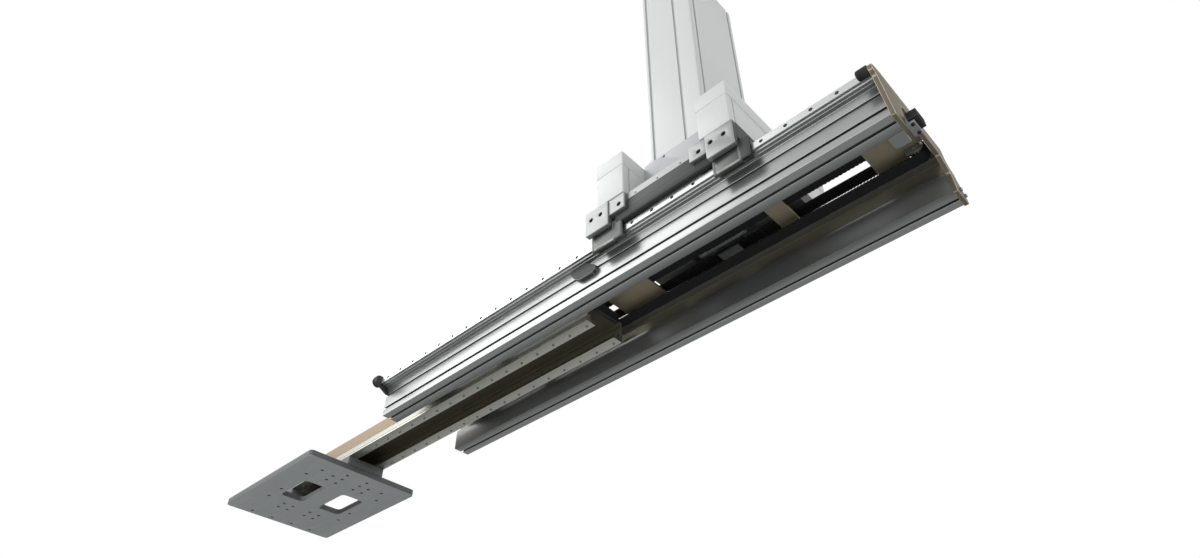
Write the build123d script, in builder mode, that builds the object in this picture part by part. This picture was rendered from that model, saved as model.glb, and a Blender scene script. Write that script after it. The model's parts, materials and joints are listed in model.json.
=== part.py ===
"""Telescopic linear actuator hung from a column: a driven outer beam on side rails,
and an arm that runs out of the beam's open underside with a tool plate on its end.

All sizes are millimetres. Sketches are drawn in the beam's own numbers: lengths run
from the first hole of the guide rail, widths from the beam's middle, and heights from
the undersides of the beam's feet. The planes below move them to the part's origin,
the centre of the column's top.
"""
import os
from math import cos, radians, sin

from build123d import *

# Column
column_top = 1150.0
column_mid = 1059.5
column_wide = 175.0
column_deep = 236.0
column_wall = 12.0
column_corner = 7.0
column_slot = 8.0
column_slot_deep = 6.0
column_slot_near = 14.0
column_slot_mid = 115.0
column_side_slot = 20.0
core_x = 134.0
core_y = 196.0
core_boss = 12.0
core_hole = 5.1
core_deep = 40.0

# Beam: two side profiles joined by cross plates
beam_left = -35.0
beam_right = 1575.0
wall_inner = 108.5
wall_outer = 161.0
wall_recess = 120.0
wall_lip = 65.0
wall_top = 113.0
curl_in = 100.0
curl_thick = 8.0
wall_skin = 5.0
seat_low = 95.0
seat_high = 119.0
seat_face = 171.0
seat_inner = 150.0
slot_open = 6.0
slot_lip = 2.0
slot_wide = 11.0
slot_deep = 7.0
slot_heights = (23.0, 67.0)
foot_slot_at = 137.0
cross_thick = 8.0
cross_half = 148.0
cross_spans = {
    "cross_plate_left": (beam_left, 107.0),
    "cross_plate_second": (308.0, 356.0),
    "cross_plate_middle": (716.0, 850.0),
    "cross_plate_fourth": (1204.0, 1252.0),
    "cross_plate_right": (1453.0, beam_right),
}

bolt_inset = 14.0
bolt_row = 134.0
bolt_hole = 3.3
end_thick = 10.0
bumper_right_y = seat_face + 30.5
bumper_right_high = 97.0
bumper_radius = 11.5
bumper_long = 32.0
bumper_left_at = (-188.0, 112.0)
bumper_left_radius = 17.0
bumper_left_long = 22.0
bumper_plate = 6.0
cam_at = 785.0
cam_thick = 11.5
fitting_ends = (-122.0, -84.0)
fitting_low = -6.0
fitting_thick = 5.0
fitting_deep = 17.0
fitting_pitch = 26.0
fitting_hole = 2.2
connector_long = 9.0
connector_tall = 32.0

# Side rails and their runner blocks
rail_mid = 107.0
rail_half = 10.0
rail_tall = 17.5
rail_pitch = 60.0
rail_count = 27
rail_bore = 4.75
rail_bore_deep = 8.5
runner_long = 78.0
runner_tall = 30.0
runner_flange = 31.5
runner_body = 22.0
runner_flange_thick = 10.0
runner_gap = 4.6
runner_at = (column_mid - 179.5, column_mid + 180.5)
glide = 0.4

# Carriage
clamp_face = seat_face + runner_tall
clamp_thick = 14.0
clamp_low = 120.0
clamp_step = 148.0
clamp_top = 197.0
clamp_holes_high = 166.0
clamp_hole = 4.5
clamp_long = 123.5
clamp_starts = (column_mid - 225.5, column_mid + 91.5)
clamp_step_gap = 2.0
clamp_hole_shares = ((0.154, 0.401, 0.858), (0.219, 0.510, 0.794))
member_wall = 8.0
saddle_thick = 21.0
bar_low = 121.0
bar_top = 176.0
bar_thick = 13.0
bar_round = 11.0
bar_screws = (column_mid - 75.0, column_mid - 8.0, column_mid + 60.0)
bar_screw_high = bar_top + 5.0
bar_screw = 3.4
bar_gap = 0.5
housing_long = 87.5
housing_starts = (clamp_starts[0] + clamp_long - housing_long, clamp_starts[1] + 32.0)
housing_half = clamp_face + clamp_thick
housing_seam = 295.0
lid_tall = 46.0
housing_top = housing_seam + lid_tall
housing_wall = 6.0
seam_wide = 1.5
panel_seam = 190.0
apron_face = 129.0
apron_thick = 8.0
apron_top = housing_top + 9.0
apron_screw = (column_mid - 37.5, apron_top - 8.0)
gusset_reach = 34.0
gusset_high = housing_top + 71.0
gusset_low = housing_top + 44.0
gusset_half = 100.0

# Drive: a belt loop lifted over a toothed pulley by two rollers
belt_half = 25.0
belt_low = wall_top + cross_thick
belt_thick = 3.0
belt_gap = 0.3
drive_radius = 31.8
drive_high = 215.0
drive_teeth = 20
roller_radius = 20.0
shaft_radius = 10.0
shaft_fit = 0.05
cheek_inner = 30.0
cheek_thick = 10.0
cheek_half_long = 69.5
cheek_low = 127.0
cheek_high = 262.0
flange_rise = 2.0
flange_thick = 2.0

# Telescope belt: an endless loop around two end pulleys
loop_in = 53.0
loop_out = 85.0
loop_high = 110.0
end_radius = 16.2
end_at = (7.0, 1549.0)
end_shaft = 6.0
fork_thick = 5.0
fork_clear = 1.3
fork_low = 98.0
fork_base = wall_top + cross_thick
fork_top = 125.0
plate_slot = 3.0

# Arm
arm_left = -870.0
arm_right = 700.0
arm_half = 66.5
arm_low = 47.0
arm_top = 89.0
arm_skin = 6.0
strip_inner = 35.0
strip_low = 23.5
arm_rail_at = 30.0
arm_rail_half = 7.5
arm_rail_tall = 15.0
arm_rail_ends = (-830.0, 670.0)
arm_runner_half = 17.0
arm_runner_long = 61.0
arm_runner_at = (60.0, 332.0)
arm_runner_gap = 4.2
block_long = 12.0
block_half = 42.0
block_low = 68.0
block_top = 98.0
grip_ends = (630.0, 680.0)

# Tool plate
plate_left = -886.0
plate_right = -356.0
plate_half = 197.5
plate_low = -23.0
plate_thick = 20.0
window_long = 155.0
window_wide = 80.0
window_at = (-600.0, 71.0)
window_round = 16.0
plate_corner = 8.0
neck_ends = (-505.0, -335.0)
spacer_ends = (-870.0, -700.0)
tool_hole = 4.5
tool_corner_x = 232.0
tool_corner_y = 268.0
tool_corner_at = -596.0
group_x = 38.0
group_y = 34.0
group_at = ((-449.0, -50.0), (-449.0, 50.0), (-749.0, -50.0), (-749.0, 50.0))
edge_row_at = -862.0
edge_pitch = 75.0
tool_extra = ((-394.0, 37.0), (-421.0, 113.0), (-636.0, 132.0))

pieces = {}


def across(x):
    """Plane square to the travel: sketch numbers are width and height."""
    return Plane(origin=(x - column_mid, 0, -column_top), x_dir=(0, 1, 0), z_dir=(1, 0, 0))


def level(z):
    """Level plane: sketch numbers are length and width."""
    return Plane(origin=(-column_mid, 0, z - column_top), x_dir=(1, 0, 0), z_dir=(0, 0, 1))


def upright(y):
    """Upright plane along the travel, facing the near side: length and height."""
    return Plane(origin=(-column_mid, y, -column_top), x_dir=(1, 0, 0), z_dir=(0, -1, 0))


def slab(plane, low, high, thick):
    """Plain rectangular piece between two corners of a plane."""
    with BuildPart() as piece:
        with BuildSketch(plane):
            with Locations(((low[0] + high[0]) / 2, (low[1] + high[1]) / 2)):
                Rectangle(high[0] - low[0], high[1] - low[1])
        extrude(amount=thick)
    return piece.part


def cut_slot(y, z, turn):
    """Cuts a T-slot whose mouth is at (y, z) and whose depth runs along the turned -x."""
    spot = Location((y, z, 0), (0, 0, turn))
    with Locations(spot):
        Rectangle(slot_lip * 2, slot_open, mode=Mode.SUBTRACT)
    with Locations(spot * Location(((-slot_lip - slot_deep) / 2, 0, 0))):
        Rectangle(slot_deep - slot_lip, slot_wide, mode=Mode.SUBTRACT)


def facing(side, points):
    """Points drawn for the far side, turned over for the near one."""
    return [(side * y, z) for y, z in points]


# Side profiles
wall_outline = [
    (wall_inner, 0), (wall_outer, 0), (wall_outer, seat_low), (seat_face, seat_low),
    (seat_face, seat_high), (seat_inner, seat_high), (seat_inner, wall_top),
    (curl_in, wall_top), (curl_in, wall_top - curl_thick), (wall_recess, wall_top - curl_thick),
    (wall_recess, wall_lip), (wall_inner, wall_lip),
]
slot_root = wall_outer - slot_deep - 2 * slot_lip
chambers = [
    [(wall_inner + wall_skin, slot_deep + wall_skin), (slot_root, slot_deep + wall_skin),
     (slot_root, wall_lip - 3 * slot_lip), (wall_inner + wall_skin, wall_lip - 3 * slot_lip)],
    [(wall_recess + wall_skin, wall_lip), (slot_root, wall_lip),
     (slot_root, wall_top - wall_skin), (wall_recess + wall_skin, wall_top - wall_skin)],
]
sides = ((-1, "near"), (1, "far"))
ends = ((0, "left"), (1, "right"))
for side, name in sides:
    with BuildPart() as wall:
        with BuildSketch(across(beam_left)):
            with BuildLine():
                Polyline(facing(side, wall_outline), close=True)
            make_face()
            for high in slot_heights:
                cut_slot(side * wall_outer, high, 0 if side > 0 else 180)
            cut_slot(side * foot_slot_at, 0, -90)
            for chamber in chambers:
                with BuildLine():
                    Polyline(facing(side, chamber), close=True)
                make_face(mode=Mode.SUBTRACT)
        extrude(amount=beam_right - beam_left)
    pieces[f"wall_{name}"] = wall.part


def rail_outline(half, tall, grow=0.0):
    """Half-widths and heights of a profiled rail, grown by a running gap."""
    waist = half * 0.8
    marks = [(half, -grow), (half, tall * 0.40), (waist, tall * 0.52), (waist, tall * 0.68),
             (half, tall * 0.80), (half, tall * 0.96), (half * 0.93, tall)]
    right = [(w + grow, h + (grow if h > tall * 0.9 else 0.0)) for w, h in marks]
    return right + [(-w, h) for w, h in reversed(right)]


def side_rail_points(side, grow=0.0):
    """Side rail outline: its height runs outward from the seat."""
    shape = rail_outline(rail_half, rail_tall, grow)
    return [(side * (seat_face + h), rail_mid + w) for w, h in shape]


for side, name in sides:
    with BuildPart() as rail:
        with BuildSketch(across(beam_left)):
            with BuildLine():
                Polyline(side_rail_points(side), close=True)
            make_face()
        extrude(amount=beam_right - beam_left)
        with BuildSketch(upright(side * (seat_face + rail_tall))):
            with Locations([(rail_pitch * n, rail_mid) for n in range(rail_count)]):
                Circle(rail_bore)
        extrude(amount=side * rail_bore_deep, mode=Mode.SUBTRACT)
    pieces[f"guide_rail_{name}"] = rail.part


def side_runner(side, at):
    """Flanged runner block: wraps the side rail with a running gap all round."""
    with BuildPart() as runner:
        with BuildSketch(across(at - runner_long / 2)):
            low = seat_face + runner_gap
            step = clamp_face - runner_flange_thick
            outline = [
                (low, rail_mid - runner_body), (step, rail_mid - runner_body),
                (step, rail_mid - runner_flange), (clamp_face - 3, rail_mid - runner_flange),
                (clamp_face, rail_mid - runner_flange + 3),
                (clamp_face, rail_mid + runner_flange - 3),
                (clamp_face - 3, rail_mid + runner_flange), (step, rail_mid + runner_flange),
                (step, rail_mid + runner_body), (low, rail_mid + runner_body),
            ]
            with BuildLine():
                Polyline(facing(side, outline), close=True)
            make_face()
            with BuildLine():
                Polyline(side_rail_points(side, glide), close=True)
            make_face(mode=Mode.SUBTRACT)
        extrude(amount=runner_long)
    return runner.part


for side, side_name in sides:
    for end, end_name in ends:
        pieces[f"runner_{side_name}_{end_name}"] = side_runner(side, runner_at[end])

# Cross plates: the two end ones are slotted for the telescope belt's pulleys
belt_mid = (loop_in + loop_out) / 2
fork_half = (loop_out - loop_in) / 2 + fork_clear + fork_thick
pulley_reach = end_radius + belt_gap + belt_thick + plate_slot
fork_tail = 22.5
for name, (start, stop) in cross_spans.items():
    with BuildPart() as cross:
        with BuildSketch(level(wall_top)):
            with Locations(((start + stop) / 2, 0)):
                Rectangle(stop - start, 2 * cross_half)
            for pulley in end_at:
                if start < pulley < stop:
                    inward = 1 if pulley < column_mid / 2 else -1
                    slot_mid = pulley + inward * (fork_tail - pulley_reach) / 2
                    with Locations((slot_mid, belt_mid)):
                        Rectangle(
                            fork_tail + pulley_reach, 2 * fork_half + 1, mode=Mode.SUBTRACT
                        )
            with Locations([
                (x, side * bolt_row) for x in (start + bolt_inset, stop - bolt_inset) for side in (-1, 1)
            ]):
                Circle(bolt_hole, mode=Mode.SUBTRACT)
        extrude(amount=cross_thick)
    pieces[name] = cross.part

# End plate, bumpers and the small fittings on it
end_outline = [
    (-wall_outer, -5), (wall_outer, -5), (wall_outer, 5), (140, 36), (99, 79), (95, 112),
    (-175, 112), (-204, 106), (-213, 98), (-210, 86), (-198, 78),
]
with BuildPart() as end_plate:
    with BuildSketch(across(beam_right)):
        with BuildLine():
            Polyline(end_outline, close=True)
        make_face()
    extrude(amount=end_thick)
    fillet(end_plate.edges().filter_by(Axis.X).sort_by(Axis.Z)[0:2], radius=3)
pieces["end_plate"] = end_plate.part

with BuildPart() as bumper:
    with BuildSketch(across(beam_right)):
        with Locations((-bumper_right_y, bumper_right_high)):
            Circle(bumper_radius)
    extrude(amount=-bumper_long)
    fillet(bumper.faces().sort_by(Axis.X)[0].edges(), radius=3)
pieces["bumper_right"] = bumper.part

with BuildPart() as bracket:
    with BuildSketch(across(beam_left)):
        with BuildLine():
            Polyline([(-204, 120), (-176, 126), (-140, 104), (-140, 74), (-164, 74), (-205, 98)], close=True)
        make_face()
    extrude(amount=-bumper_plate)
    fillet(bracket.edges().filter_by(Axis.X), radius=4)
pieces["bumper_bracket"] = bracket.part

with BuildPart() as bumper:
    with BuildSketch(across(beam_left - bumper_plate)):
        with Locations(bumper_left_at):
            Circle(bumper_left_radius)
    extrude(amount=-bumper_left_long)
    fillet(bumper.faces().sort_by(Axis.X)[0].edges(), radius=4)
pieces["bumper_left"] = bumper.part

end_face = beam_right + end_thick
fitting_mid = (fitting_ends[0] + fitting_ends[1]) / 2
with BuildPart() as bracket:
    with BuildSketch(upright(fitting_ends[0])):
        with BuildLine():
            Polyline(
                [(end_face, fitting_low), (end_face + fitting_deep, fitting_low),
                 (end_face + fitting_deep, fitting_low + fitting_thick),
                 (end_face + fitting_thick, fitting_low + fitting_thick),
                 (end_face + fitting_thick, fitting_low + 24), (end_face, fitting_low + 24)],
                close=True,
            )
        make_face()
    extrude(amount=fitting_ends[0] - fitting_ends[1])
    with BuildSketch(level(fitting_low)):
        with Locations((end_face + fitting_deep / 2 + 2, fitting_mid)):
            with GridLocations(0, fitting_pitch, 1, 2):
                Circle(fitting_hole)
    extrude(amount=fitting_thick, mode=Mode.SUBTRACT)
pieces["connector_bracket"] = bracket.part

with BuildPart() as connector:
    with BuildSketch(across(end_face + fitting_deep)):
        with Locations((fitting_mid, fitting_low + connector_tall / 2)):
            RectangleRounded(fitting_ends[1] - fitting_ends[0] + 6, connector_tall, 2)
    extrude(amount=connector_long)
    with BuildSketch(across(end_face + fitting_deep + connector_long)):
        with Locations((fitting_mid, fitting_low + connector_tall / 2)):
            RectangleRounded(34, 22, 2)
    extrude(amount=-3, mode=Mode.SUBTRACT)
pieces["connector"] = connector.part

# Switch cam: a flat plate on the near side's upper slot, thin enough to pass inside the runner blocks
with BuildPart() as cam:
    with BuildSketch(upright(-wall_outer)):
        with BuildLine():
            Polyline(
                [(cam_at - 38, 93), (cam_at - 43, 82), (cam_at - 29, 60), (cam_at - 12, 47.5),
                 (cam_at + 30, 47.5), (cam_at + 41, 56), (cam_at + 43, 66), (cam_at + 8, 93)],
                close=True,
            )
        make_face()
    extrude(amount=cam_thick)
    fillet(cam.edges().filter_by(Axis.Y), radius=4)
    chamfer(cam.faces().sort_by(Axis.Y)[0].outer_wire().edges(), length=1)
pieces["switch_cam"] = cam.part

# Drive belt strip along the beam's top, and the loop lifted over the drive pulley
pieces["drive_belt"] = slab(
    level(belt_low), (beam_left + 6, -belt_half), (beam_right - 6, belt_half), belt_thick
)
inner_drive = drive_radius + belt_gap
outer_drive = inner_drive + belt_thick
inner_roller = roller_radius + belt_gap
outer_roller = inner_roller + belt_thick
roller_out = inner_drive + outer_roller
roller_high = belt_low + belt_thick + belt_gap + roller_radius
lift = 35.0


def arc_points(centre, radius, start, stop, steps):
    """Points along an arc, in degrees counted from the length axis."""
    turn = (stop - start) / steps
    return [
        (centre[0] + radius * cos(radians(start + n * turn)),
         centre[1] + radius * sin(radians(start + n * turn)))
        for n in range(steps + 1)
    ]


left_roller = (column_mid - roller_out, roller_high)
right_roller = (column_mid + roller_out, roller_high)
drive_centre = (column_mid, drive_high)
outside = (
    arc_points(left_roller, inner_roller, -90 + lift, 0, 5)
    + arc_points(drive_centre, outer_drive, 180, 0, 18)
    + arc_points(right_roller, inner_roller, 180, 270 - lift, 5)
)
inside = (
    arc_points(right_roller, outer_roller, 270 - lift, 180, 5)
    + arc_points(drive_centre, inner_drive, 0, 180, 18)
    + arc_points(left_roller, outer_roller, 0, -90 + lift, 5)
)
with BuildPart() as loop:
    with BuildSketch(upright(-belt_half)):
        with BuildLine():
            Polyline(outside + inside, close=True)
        make_face()
    extrude(amount=-2 * belt_half)
pieces["drive_belt_loop"] = loop.part


def roller(centre, radius, half, shaft, reach, teeth=0):
    """Flanged pulley with its shaft, turning about the width axis."""
    with BuildPart() as piece:
        with BuildSketch(upright(-half)):
            with Locations(centre):
                Circle(radius)
                if teeth:
                    with PolarLocations(radius, teeth):
                        Rectangle(3.6, 4.2, mode=Mode.SUBTRACT)
        extrude(amount=-2 * half)
        for edge in (-half, half - flange_thick):
            with BuildSketch(upright(edge)):
                with Locations(centre):
                    Circle(radius + flange_rise)
            extrude(amount=-flange_thick)
        with BuildSketch(upright(-reach)):
            with Locations(centre):
                Circle(shaft)
        extrude(amount=-2 * reach)
    return piece.part


drive_half = belt_half + 2 * flange_thick
shaft_reach = cheek_inner + cheek_thick + 4
pieces["drive_pulley"] = roller(
    drive_centre, drive_radius, drive_half, shaft_radius, shaft_reach, drive_teeth
)
pieces["roller_left"] = roller(
    left_roller, roller_radius, drive_half, shaft_radius * 0.8, cheek_inner + cheek_thick - 1
)
pieces["roller_right"] = roller(
    right_roller, roller_radius, drive_half, shaft_radius * 0.8, cheek_inner + cheek_thick - 1
)

# Cheeks of the drive, joined by a bridge, hung in the saddle's window
with BuildPart() as bracket:
    for side in (-1, 1):
        with BuildSketch(upright(side * cheek_inner)):
            with Locations((column_mid, (cheek_low + cheek_high) / 2)):
                Rectangle(2 * cheek_half_long, cheek_high - cheek_low)
            with Locations(drive_centre):
                Circle(shaft_radius + shaft_fit, mode=Mode.SUBTRACT)
            with Locations(left_roller, right_roller):
                Circle(shaft_radius * 0.8 + shaft_fit, mode=Mode.SUBTRACT)
        extrude(amount=-side * cheek_thick)
    with BuildSketch(level(cheek_high)):
        with Locations((column_mid, 0)):
            Rectangle(2 * cheek_half_long, 2 * (cheek_inner + cheek_thick))
            Rectangle(60, 40, mode=Mode.SUBTRACT)
    extrude(amount=8)
pieces["drive_bracket"] = bracket.part

# Telescope belt and its end pulleys
inner_end = end_radius + belt_gap
outer_end = inner_end + belt_thick
with BuildPart() as loop:
    for radius, mode in ((outer_end, Mode.ADD), (inner_end, Mode.SUBTRACT)):
        with BuildSketch(upright(loop_in)):
            with Locations(((end_at[0] + end_at[1]) / 2, loop_high)):
                SlotCenterToCenter(end_at[1] - end_at[0], 2 * radius)
        extrude(amount=-(loop_out - loop_in), mode=mode)
pieces["telescope_belt"] = loop.part

for at, name in zip(end_at, ("end_pulley_left", "end_pulley_right")):
    inward = 1 if at < column_mid / 2 else -1
    half = (loop_out - loop_in) / 2 + fork_clear - 0.5
    with BuildPart() as pulley:
        with BuildSketch(upright(belt_mid - half)):
            with Locations((at, loop_high)):
                Circle(end_radius)
        extrude(amount=-2 * half)
        with BuildSketch(upright(belt_mid - fork_half + 0.5)):
            with Locations((at, loop_high)):
                Circle(end_shaft)
        extrude(amount=-2 * fork_half + 1)
    pieces[name] = pulley.part
    tip = at - inward * 11
    back = at + inward * (fork_tail - 1)
    heel = back + inward * 30
    with BuildPart() as fork:
        for side in (-1, 1):
            with BuildSketch(upright(belt_mid + side * fork_half)):
                with BuildLine():
                    Polyline(
                        [(tip, fork_low), (back, fork_low), (back, fork_base), (heel, fork_base),
                         (heel, fork_top), (tip, fork_top)],
                        close=True,
                    )
                make_face()
                with Locations((at, loop_high)):
                    Circle(end_shaft + shaft_fit, mode=Mode.SUBTRACT)
            extrude(amount=side * fork_thick)
        with BuildSketch(level(fork_base)):
            with Locations((heel - inward * 10, belt_mid)):
                Rectangle(20, 2 * fork_half)
        extrude(amount=fork_top - fork_base)
    pieces[name.replace("pulley", "fork")] = fork.part

# Clamps that tie the telescope belt's upper run to the carriage and its lower run to the arm
run_high = loop_high + inner_end
run_low = loop_high - outer_end
with BuildPart() as grip:
    with BuildSketch(across(column_mid - 30)):
        with BuildLine():
            top = run_high + belt_thick + belt_gap
            low = run_high - belt_gap
            Polyline(
                [(loop_in + 3, bar_top), (loop_in + 3, top), (loop_out + belt_gap, top),
                 (loop_out + belt_gap, low), (loop_in + 3, low), (loop_in + 3, low - 4),
                 (loop_out + 6, low - 4), (loop_out + 6, bar_top)],
                close=True,
            )
        make_face()
    extrude(amount=60)
pieces["carriage_belt_clamp"] = grip.part

with BuildPart() as grip:
    with BuildSketch(across(grip_ends[0])):
        with BuildLine():
            top = run_low + belt_thick + belt_gap
            low = run_low - belt_gap
            Polyline(
                [(arm_half, arm_top - 22), (loop_out + 6, arm_top - 22), (loop_out + 6, top + 4),
                 (loop_in + 2, top + 4), (loop_in + 2, top), (loop_out + belt_gap, top),
                 (loop_out + belt_gap, low), (arm_half, low)],
                close=True,
            )
        make_face()
    extrude(amount=grip_ends[1] - grip_ends[0])
pieces["arm_belt_clamp"] = grip.part

# Arm: a channel open below, bars along its lower edges, rails along its top
with BuildPart() as channel:
    with BuildSketch(across(arm_left)):
        with BuildLine():
            Polyline(
                [(-arm_half, arm_low), (-arm_half, arm_top), (arm_half, arm_top), (arm_half, arm_low),
                 (arm_half - arm_skin, arm_low), (arm_half - arm_skin, arm_top - arm_skin),
                 (arm_skin - arm_half, arm_top - arm_skin), (arm_skin - arm_half, arm_low)],
                close=True,
            )
        make_face()
    extrude(amount=arm_right - arm_left)
pieces["arm_channel"] = channel.part

for side, name in sides:
    with BuildPart() as strip:
        with BuildSketch(across(arm_left)):
            with BuildLine():
                Polyline(
                    facing(side, [
                        (strip_inner, strip_low), (arm_half, strip_low), (arm_half, arm_low),
                        (arm_half - 14, arm_low), (arm_half - 14, strip_low + 9),
                        (strip_inner, strip_low + 9),
                    ]),
                    close=True,
                )
            make_face()
        extrude(amount=arm_right - arm_left)
    pieces[f"arm_bar_{name}"] = strip.part
    with BuildPart() as rail:
        with BuildSketch(across(arm_rail_ends[0])):
            shape = rail_outline(arm_rail_half, arm_rail_tall)
            with BuildLine():
                Polyline([(side * arm_rail_at + w, arm_top + h) for w, h in shape], close=True)
            make_face()
        extrude(amount=arm_rail_ends[1] - arm_rail_ends[0])
    pieces[f"arm_rail_{name}"] = rail.part
    for at, place in zip(arm_runner_at, ("left", "right")):
        with BuildPart() as runner:
            with BuildSketch(across(at - arm_runner_long / 2)):
                mid = side * arm_rail_at
                with BuildLine():
                    Polyline(
                        [(mid - arm_runner_half, arm_top + arm_runner_gap), (mid - arm_runner_half, wall_top),
                         (mid + arm_runner_half, wall_top), (mid + arm_runner_half, arm_top + arm_runner_gap)],
                        close=True,
                    )
                make_face()
                with BuildLine():
                    hole = rail_outline(arm_rail_half, arm_rail_tall, glide)
                    Polyline([(mid + w, arm_top + h) for w, h in hole], close=True)
                make_face(mode=Mode.SUBTRACT)
            extrude(amount=arm_runner_long)
        pieces[f"arm_runner_{name}_{place}"] = runner.part

with BuildPart() as block:
    with BuildSketch(across(arm_right)):
        with Locations((0, (block_low + block_top) / 2)):
            RectangleRounded(2 * block_half, block_top - block_low, 4)
    extrude(amount=block_long)
pieces["arm_end_block"] = block.part

# Tool plate on two spacers under the arm's end
for name, (start, stop) in (("neck", neck_ends), ("plate_spacer", spacer_ends)):
    with BuildPart() as spacer:
        with BuildSketch(level(plate_low + plate_thick)):
            with Locations(((start + stop) / 2, 0)):
                Rectangle(stop - start, 2 * arm_half)
        extrude(amount=strip_low - plate_low - plate_thick)
        fillet(spacer.edges().filter_by(Axis.Z), radius=6)
    pieces[name] = spacer.part

with BuildPart() as plate:
    with BuildSketch(level(plate_low)):
        with Locations(((plate_left + plate_right) / 2, 0)):
            Rectangle(plate_right - plate_left, 2 * plate_half)
        for side, _ in sides:
            with Locations((window_at[0], side * window_at[1])):
                RectangleRounded(window_long, window_wide, window_round, mode=Mode.SUBTRACT)
    extrude(amount=plate_thick)
    chamfer(
        plate.edges().filter_by(Axis.Z).group_by(Axis.X)[0]
        + plate.edges().filter_by(Axis.Z).group_by(Axis.X)[-1],
        length=plate_corner,
    )
    chamfer(plate.faces().sort_by(Axis.Z)[0].outer_wire().edges(), length=1.5)
    with BuildSketch(level(plate_low)):
        with Locations((tool_corner_at, 0)):
            with GridLocations(tool_corner_x, tool_corner_y, 2, 2):
                Circle(tool_hole)
        for spot in group_at:
            with Locations(spot):
                with GridLocations(group_x, group_y, 2, 2):
                    Circle(tool_hole)
        with Locations((edge_row_at, 0)):
            with GridLocations(1, edge_pitch, 1, 4):
                Circle(tool_hole)
        with Locations([(x, side * y) for x, y in tool_extra for side, _ in sides]):
            Circle(tool_hole)
    extrude(amount=plate_thick, mode=Mode.SUBTRACT)
pieces["tool_plate"] = plate.part

# Carriage: saddle of two cross tubes and a plate, clamp plates, side bars
window_half = (cheek_half_long + 0.2, cheek_inner + cheek_thick)
with BuildPart() as saddle:
    for start in clamp_starts:
        with BuildSketch(upright(clamp_face)):
            with Locations((start + clamp_long / 2, (clamp_step + clamp_top) / 2)):
                Rectangle(clamp_long, clamp_top - clamp_step)
                Rectangle(
                    clamp_long - 2 * member_wall, clamp_top - clamp_step - 2 * member_wall,
                    mode=Mode.SUBTRACT,
                )
        extrude(amount=2 * clamp_face)
    with BuildSketch(level(bar_top)):
        inner_left = clamp_starts[0] + clamp_long
        with Locations(((inner_left + clamp_starts[1]) / 2, 0)):
            Rectangle(clamp_starts[1] - inner_left, 2 * clamp_face)
        with Locations((column_mid, 0)):
            Rectangle(2 * window_half[0], 2 * window_half[1], mode=Mode.SUBTRACT)
    extrude(amount=saddle_thick)
    for side, _ in sides:
        with BuildSketch(upright(side * clamp_face)):
            with Locations([(x, bar_screw_high) for x in bar_screws]):
                Circle(bar_screw)
        extrude(amount=side * 3, mode=Mode.SUBTRACT)
pieces["saddle"] = saddle.part

for side, side_name in sides:
    for end, end_name in ends:
        start = clamp_starts[end]
        stop = start + clamp_long
        reach = runner_at[end] + (runner_long / 2 + clamp_step_gap) * (1 if end == 0 else -1)
        outer, inner = (start, stop) if end == 0 else (stop, start)
        holes = [start + share * clamp_long for share in clamp_hole_shares[end]]
        with BuildPart() as clamp:
            with BuildSketch(upright(side * clamp_face)):
                with BuildLine():
                    Polyline(
                        [(outer, clamp_low), (reach, clamp_low), (reach, clamp_step),
                         (inner, clamp_step), (inner, clamp_top), (outer, clamp_top)],
                        close=True,
                    )
                make_face()
                with Locations([(x, clamp_holes_high) for x in holes]):
                    Circle(clamp_hole, mode=Mode.SUBTRACT)
            extrude(amount=-side * clamp_thick)
            rim = clamp.faces().sort_by(Axis.Y)[0 if side < 0 else -1]
            chamfer(rim.outer_wire().edges(), length=1)
        pieces[f"clamp_{side_name}_{end_name}"] = clamp.part
    left = runner_at[0] + runner_long / 2 + bar_gap
    right = runner_at[1] - runner_long / 2 - bar_gap
    inner_left = clamp_starts[0] + clamp_long
    inner_right = clamp_starts[1]
    under = clamp_step - bar_gap
    with BuildPart() as bar:
        with BuildSketch(upright(side * clamp_face)):
            with BuildLine():
                Polyline(
                    [(left, bar_low), (right, bar_low), (right, under), (inner_right - bar_gap, under),
                     (inner_right - bar_gap, bar_top), (inner_left + bar_gap, bar_top),
                     (inner_left + bar_gap, under), (left, under)],
                    close=True,
                )
            make_face()
        extrude(amount=side * bar_thick)
        low_edges = bar.edges().filter_by(Axis.X).group_by(Axis.Z)[0]
        fillet(low_edges.sort_by(Axis.Y)[0 if side < 0 else -1], radius=bar_round)
    pieces[f"side_bar_{side_name}"] = bar.part

# Cross housings with their lids
for end, end_name in ends:
    start = housing_starts[end]
    mid = start + housing_long / 2
    with BuildPart() as housing:
        with BuildSketch(level(clamp_top)):
            with Locations((mid, 0)):
                RectangleRounded(housing_long, 2 * housing_half, 3)
        extrude(amount=housing_seam - clamp_top)
        with BuildSketch(level(clamp_top + housing_wall)):
            with Locations((mid, 0)):
                Rectangle(housing_long - 2 * housing_wall, 2 * (housing_half - housing_wall))
        extrude(amount=housing_seam - clamp_top, mode=Mode.SUBTRACT)
        with BuildSketch(level(clamp_top + 12)):
            with Locations([
                (mid + face * housing_long / 2, side * panel_seam)
                for face in (-1, 1) for side, _ in sides
            ]):
                Rectangle(2 * seam_wide, seam_wide)
        extrude(amount=housing_seam - clamp_top, mode=Mode.SUBTRACT)
    pieces[f"housing_{end_name}"] = housing.part
    with BuildPart() as lid:
        with BuildSketch(level(housing_seam)):
            with Locations((mid, 0)):
                RectangleRounded(housing_long, 2 * housing_half, 3)
        extrude(amount=housing_top - housing_seam)
        chamfer(lid.faces().sort_by(Axis.Z)[0].edges(), length=seam_wide)
        with BuildSketch(level(housing_seam)):
            with Locations((mid, 0)):
                Rectangle(housing_long - 2 * housing_wall, 2 * (housing_half - housing_wall))
        extrude(amount=housing_top - housing_seam - housing_wall, mode=Mode.SUBTRACT)
    pieces[f"housing_lid_{end_name}"] = lid.part

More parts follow.
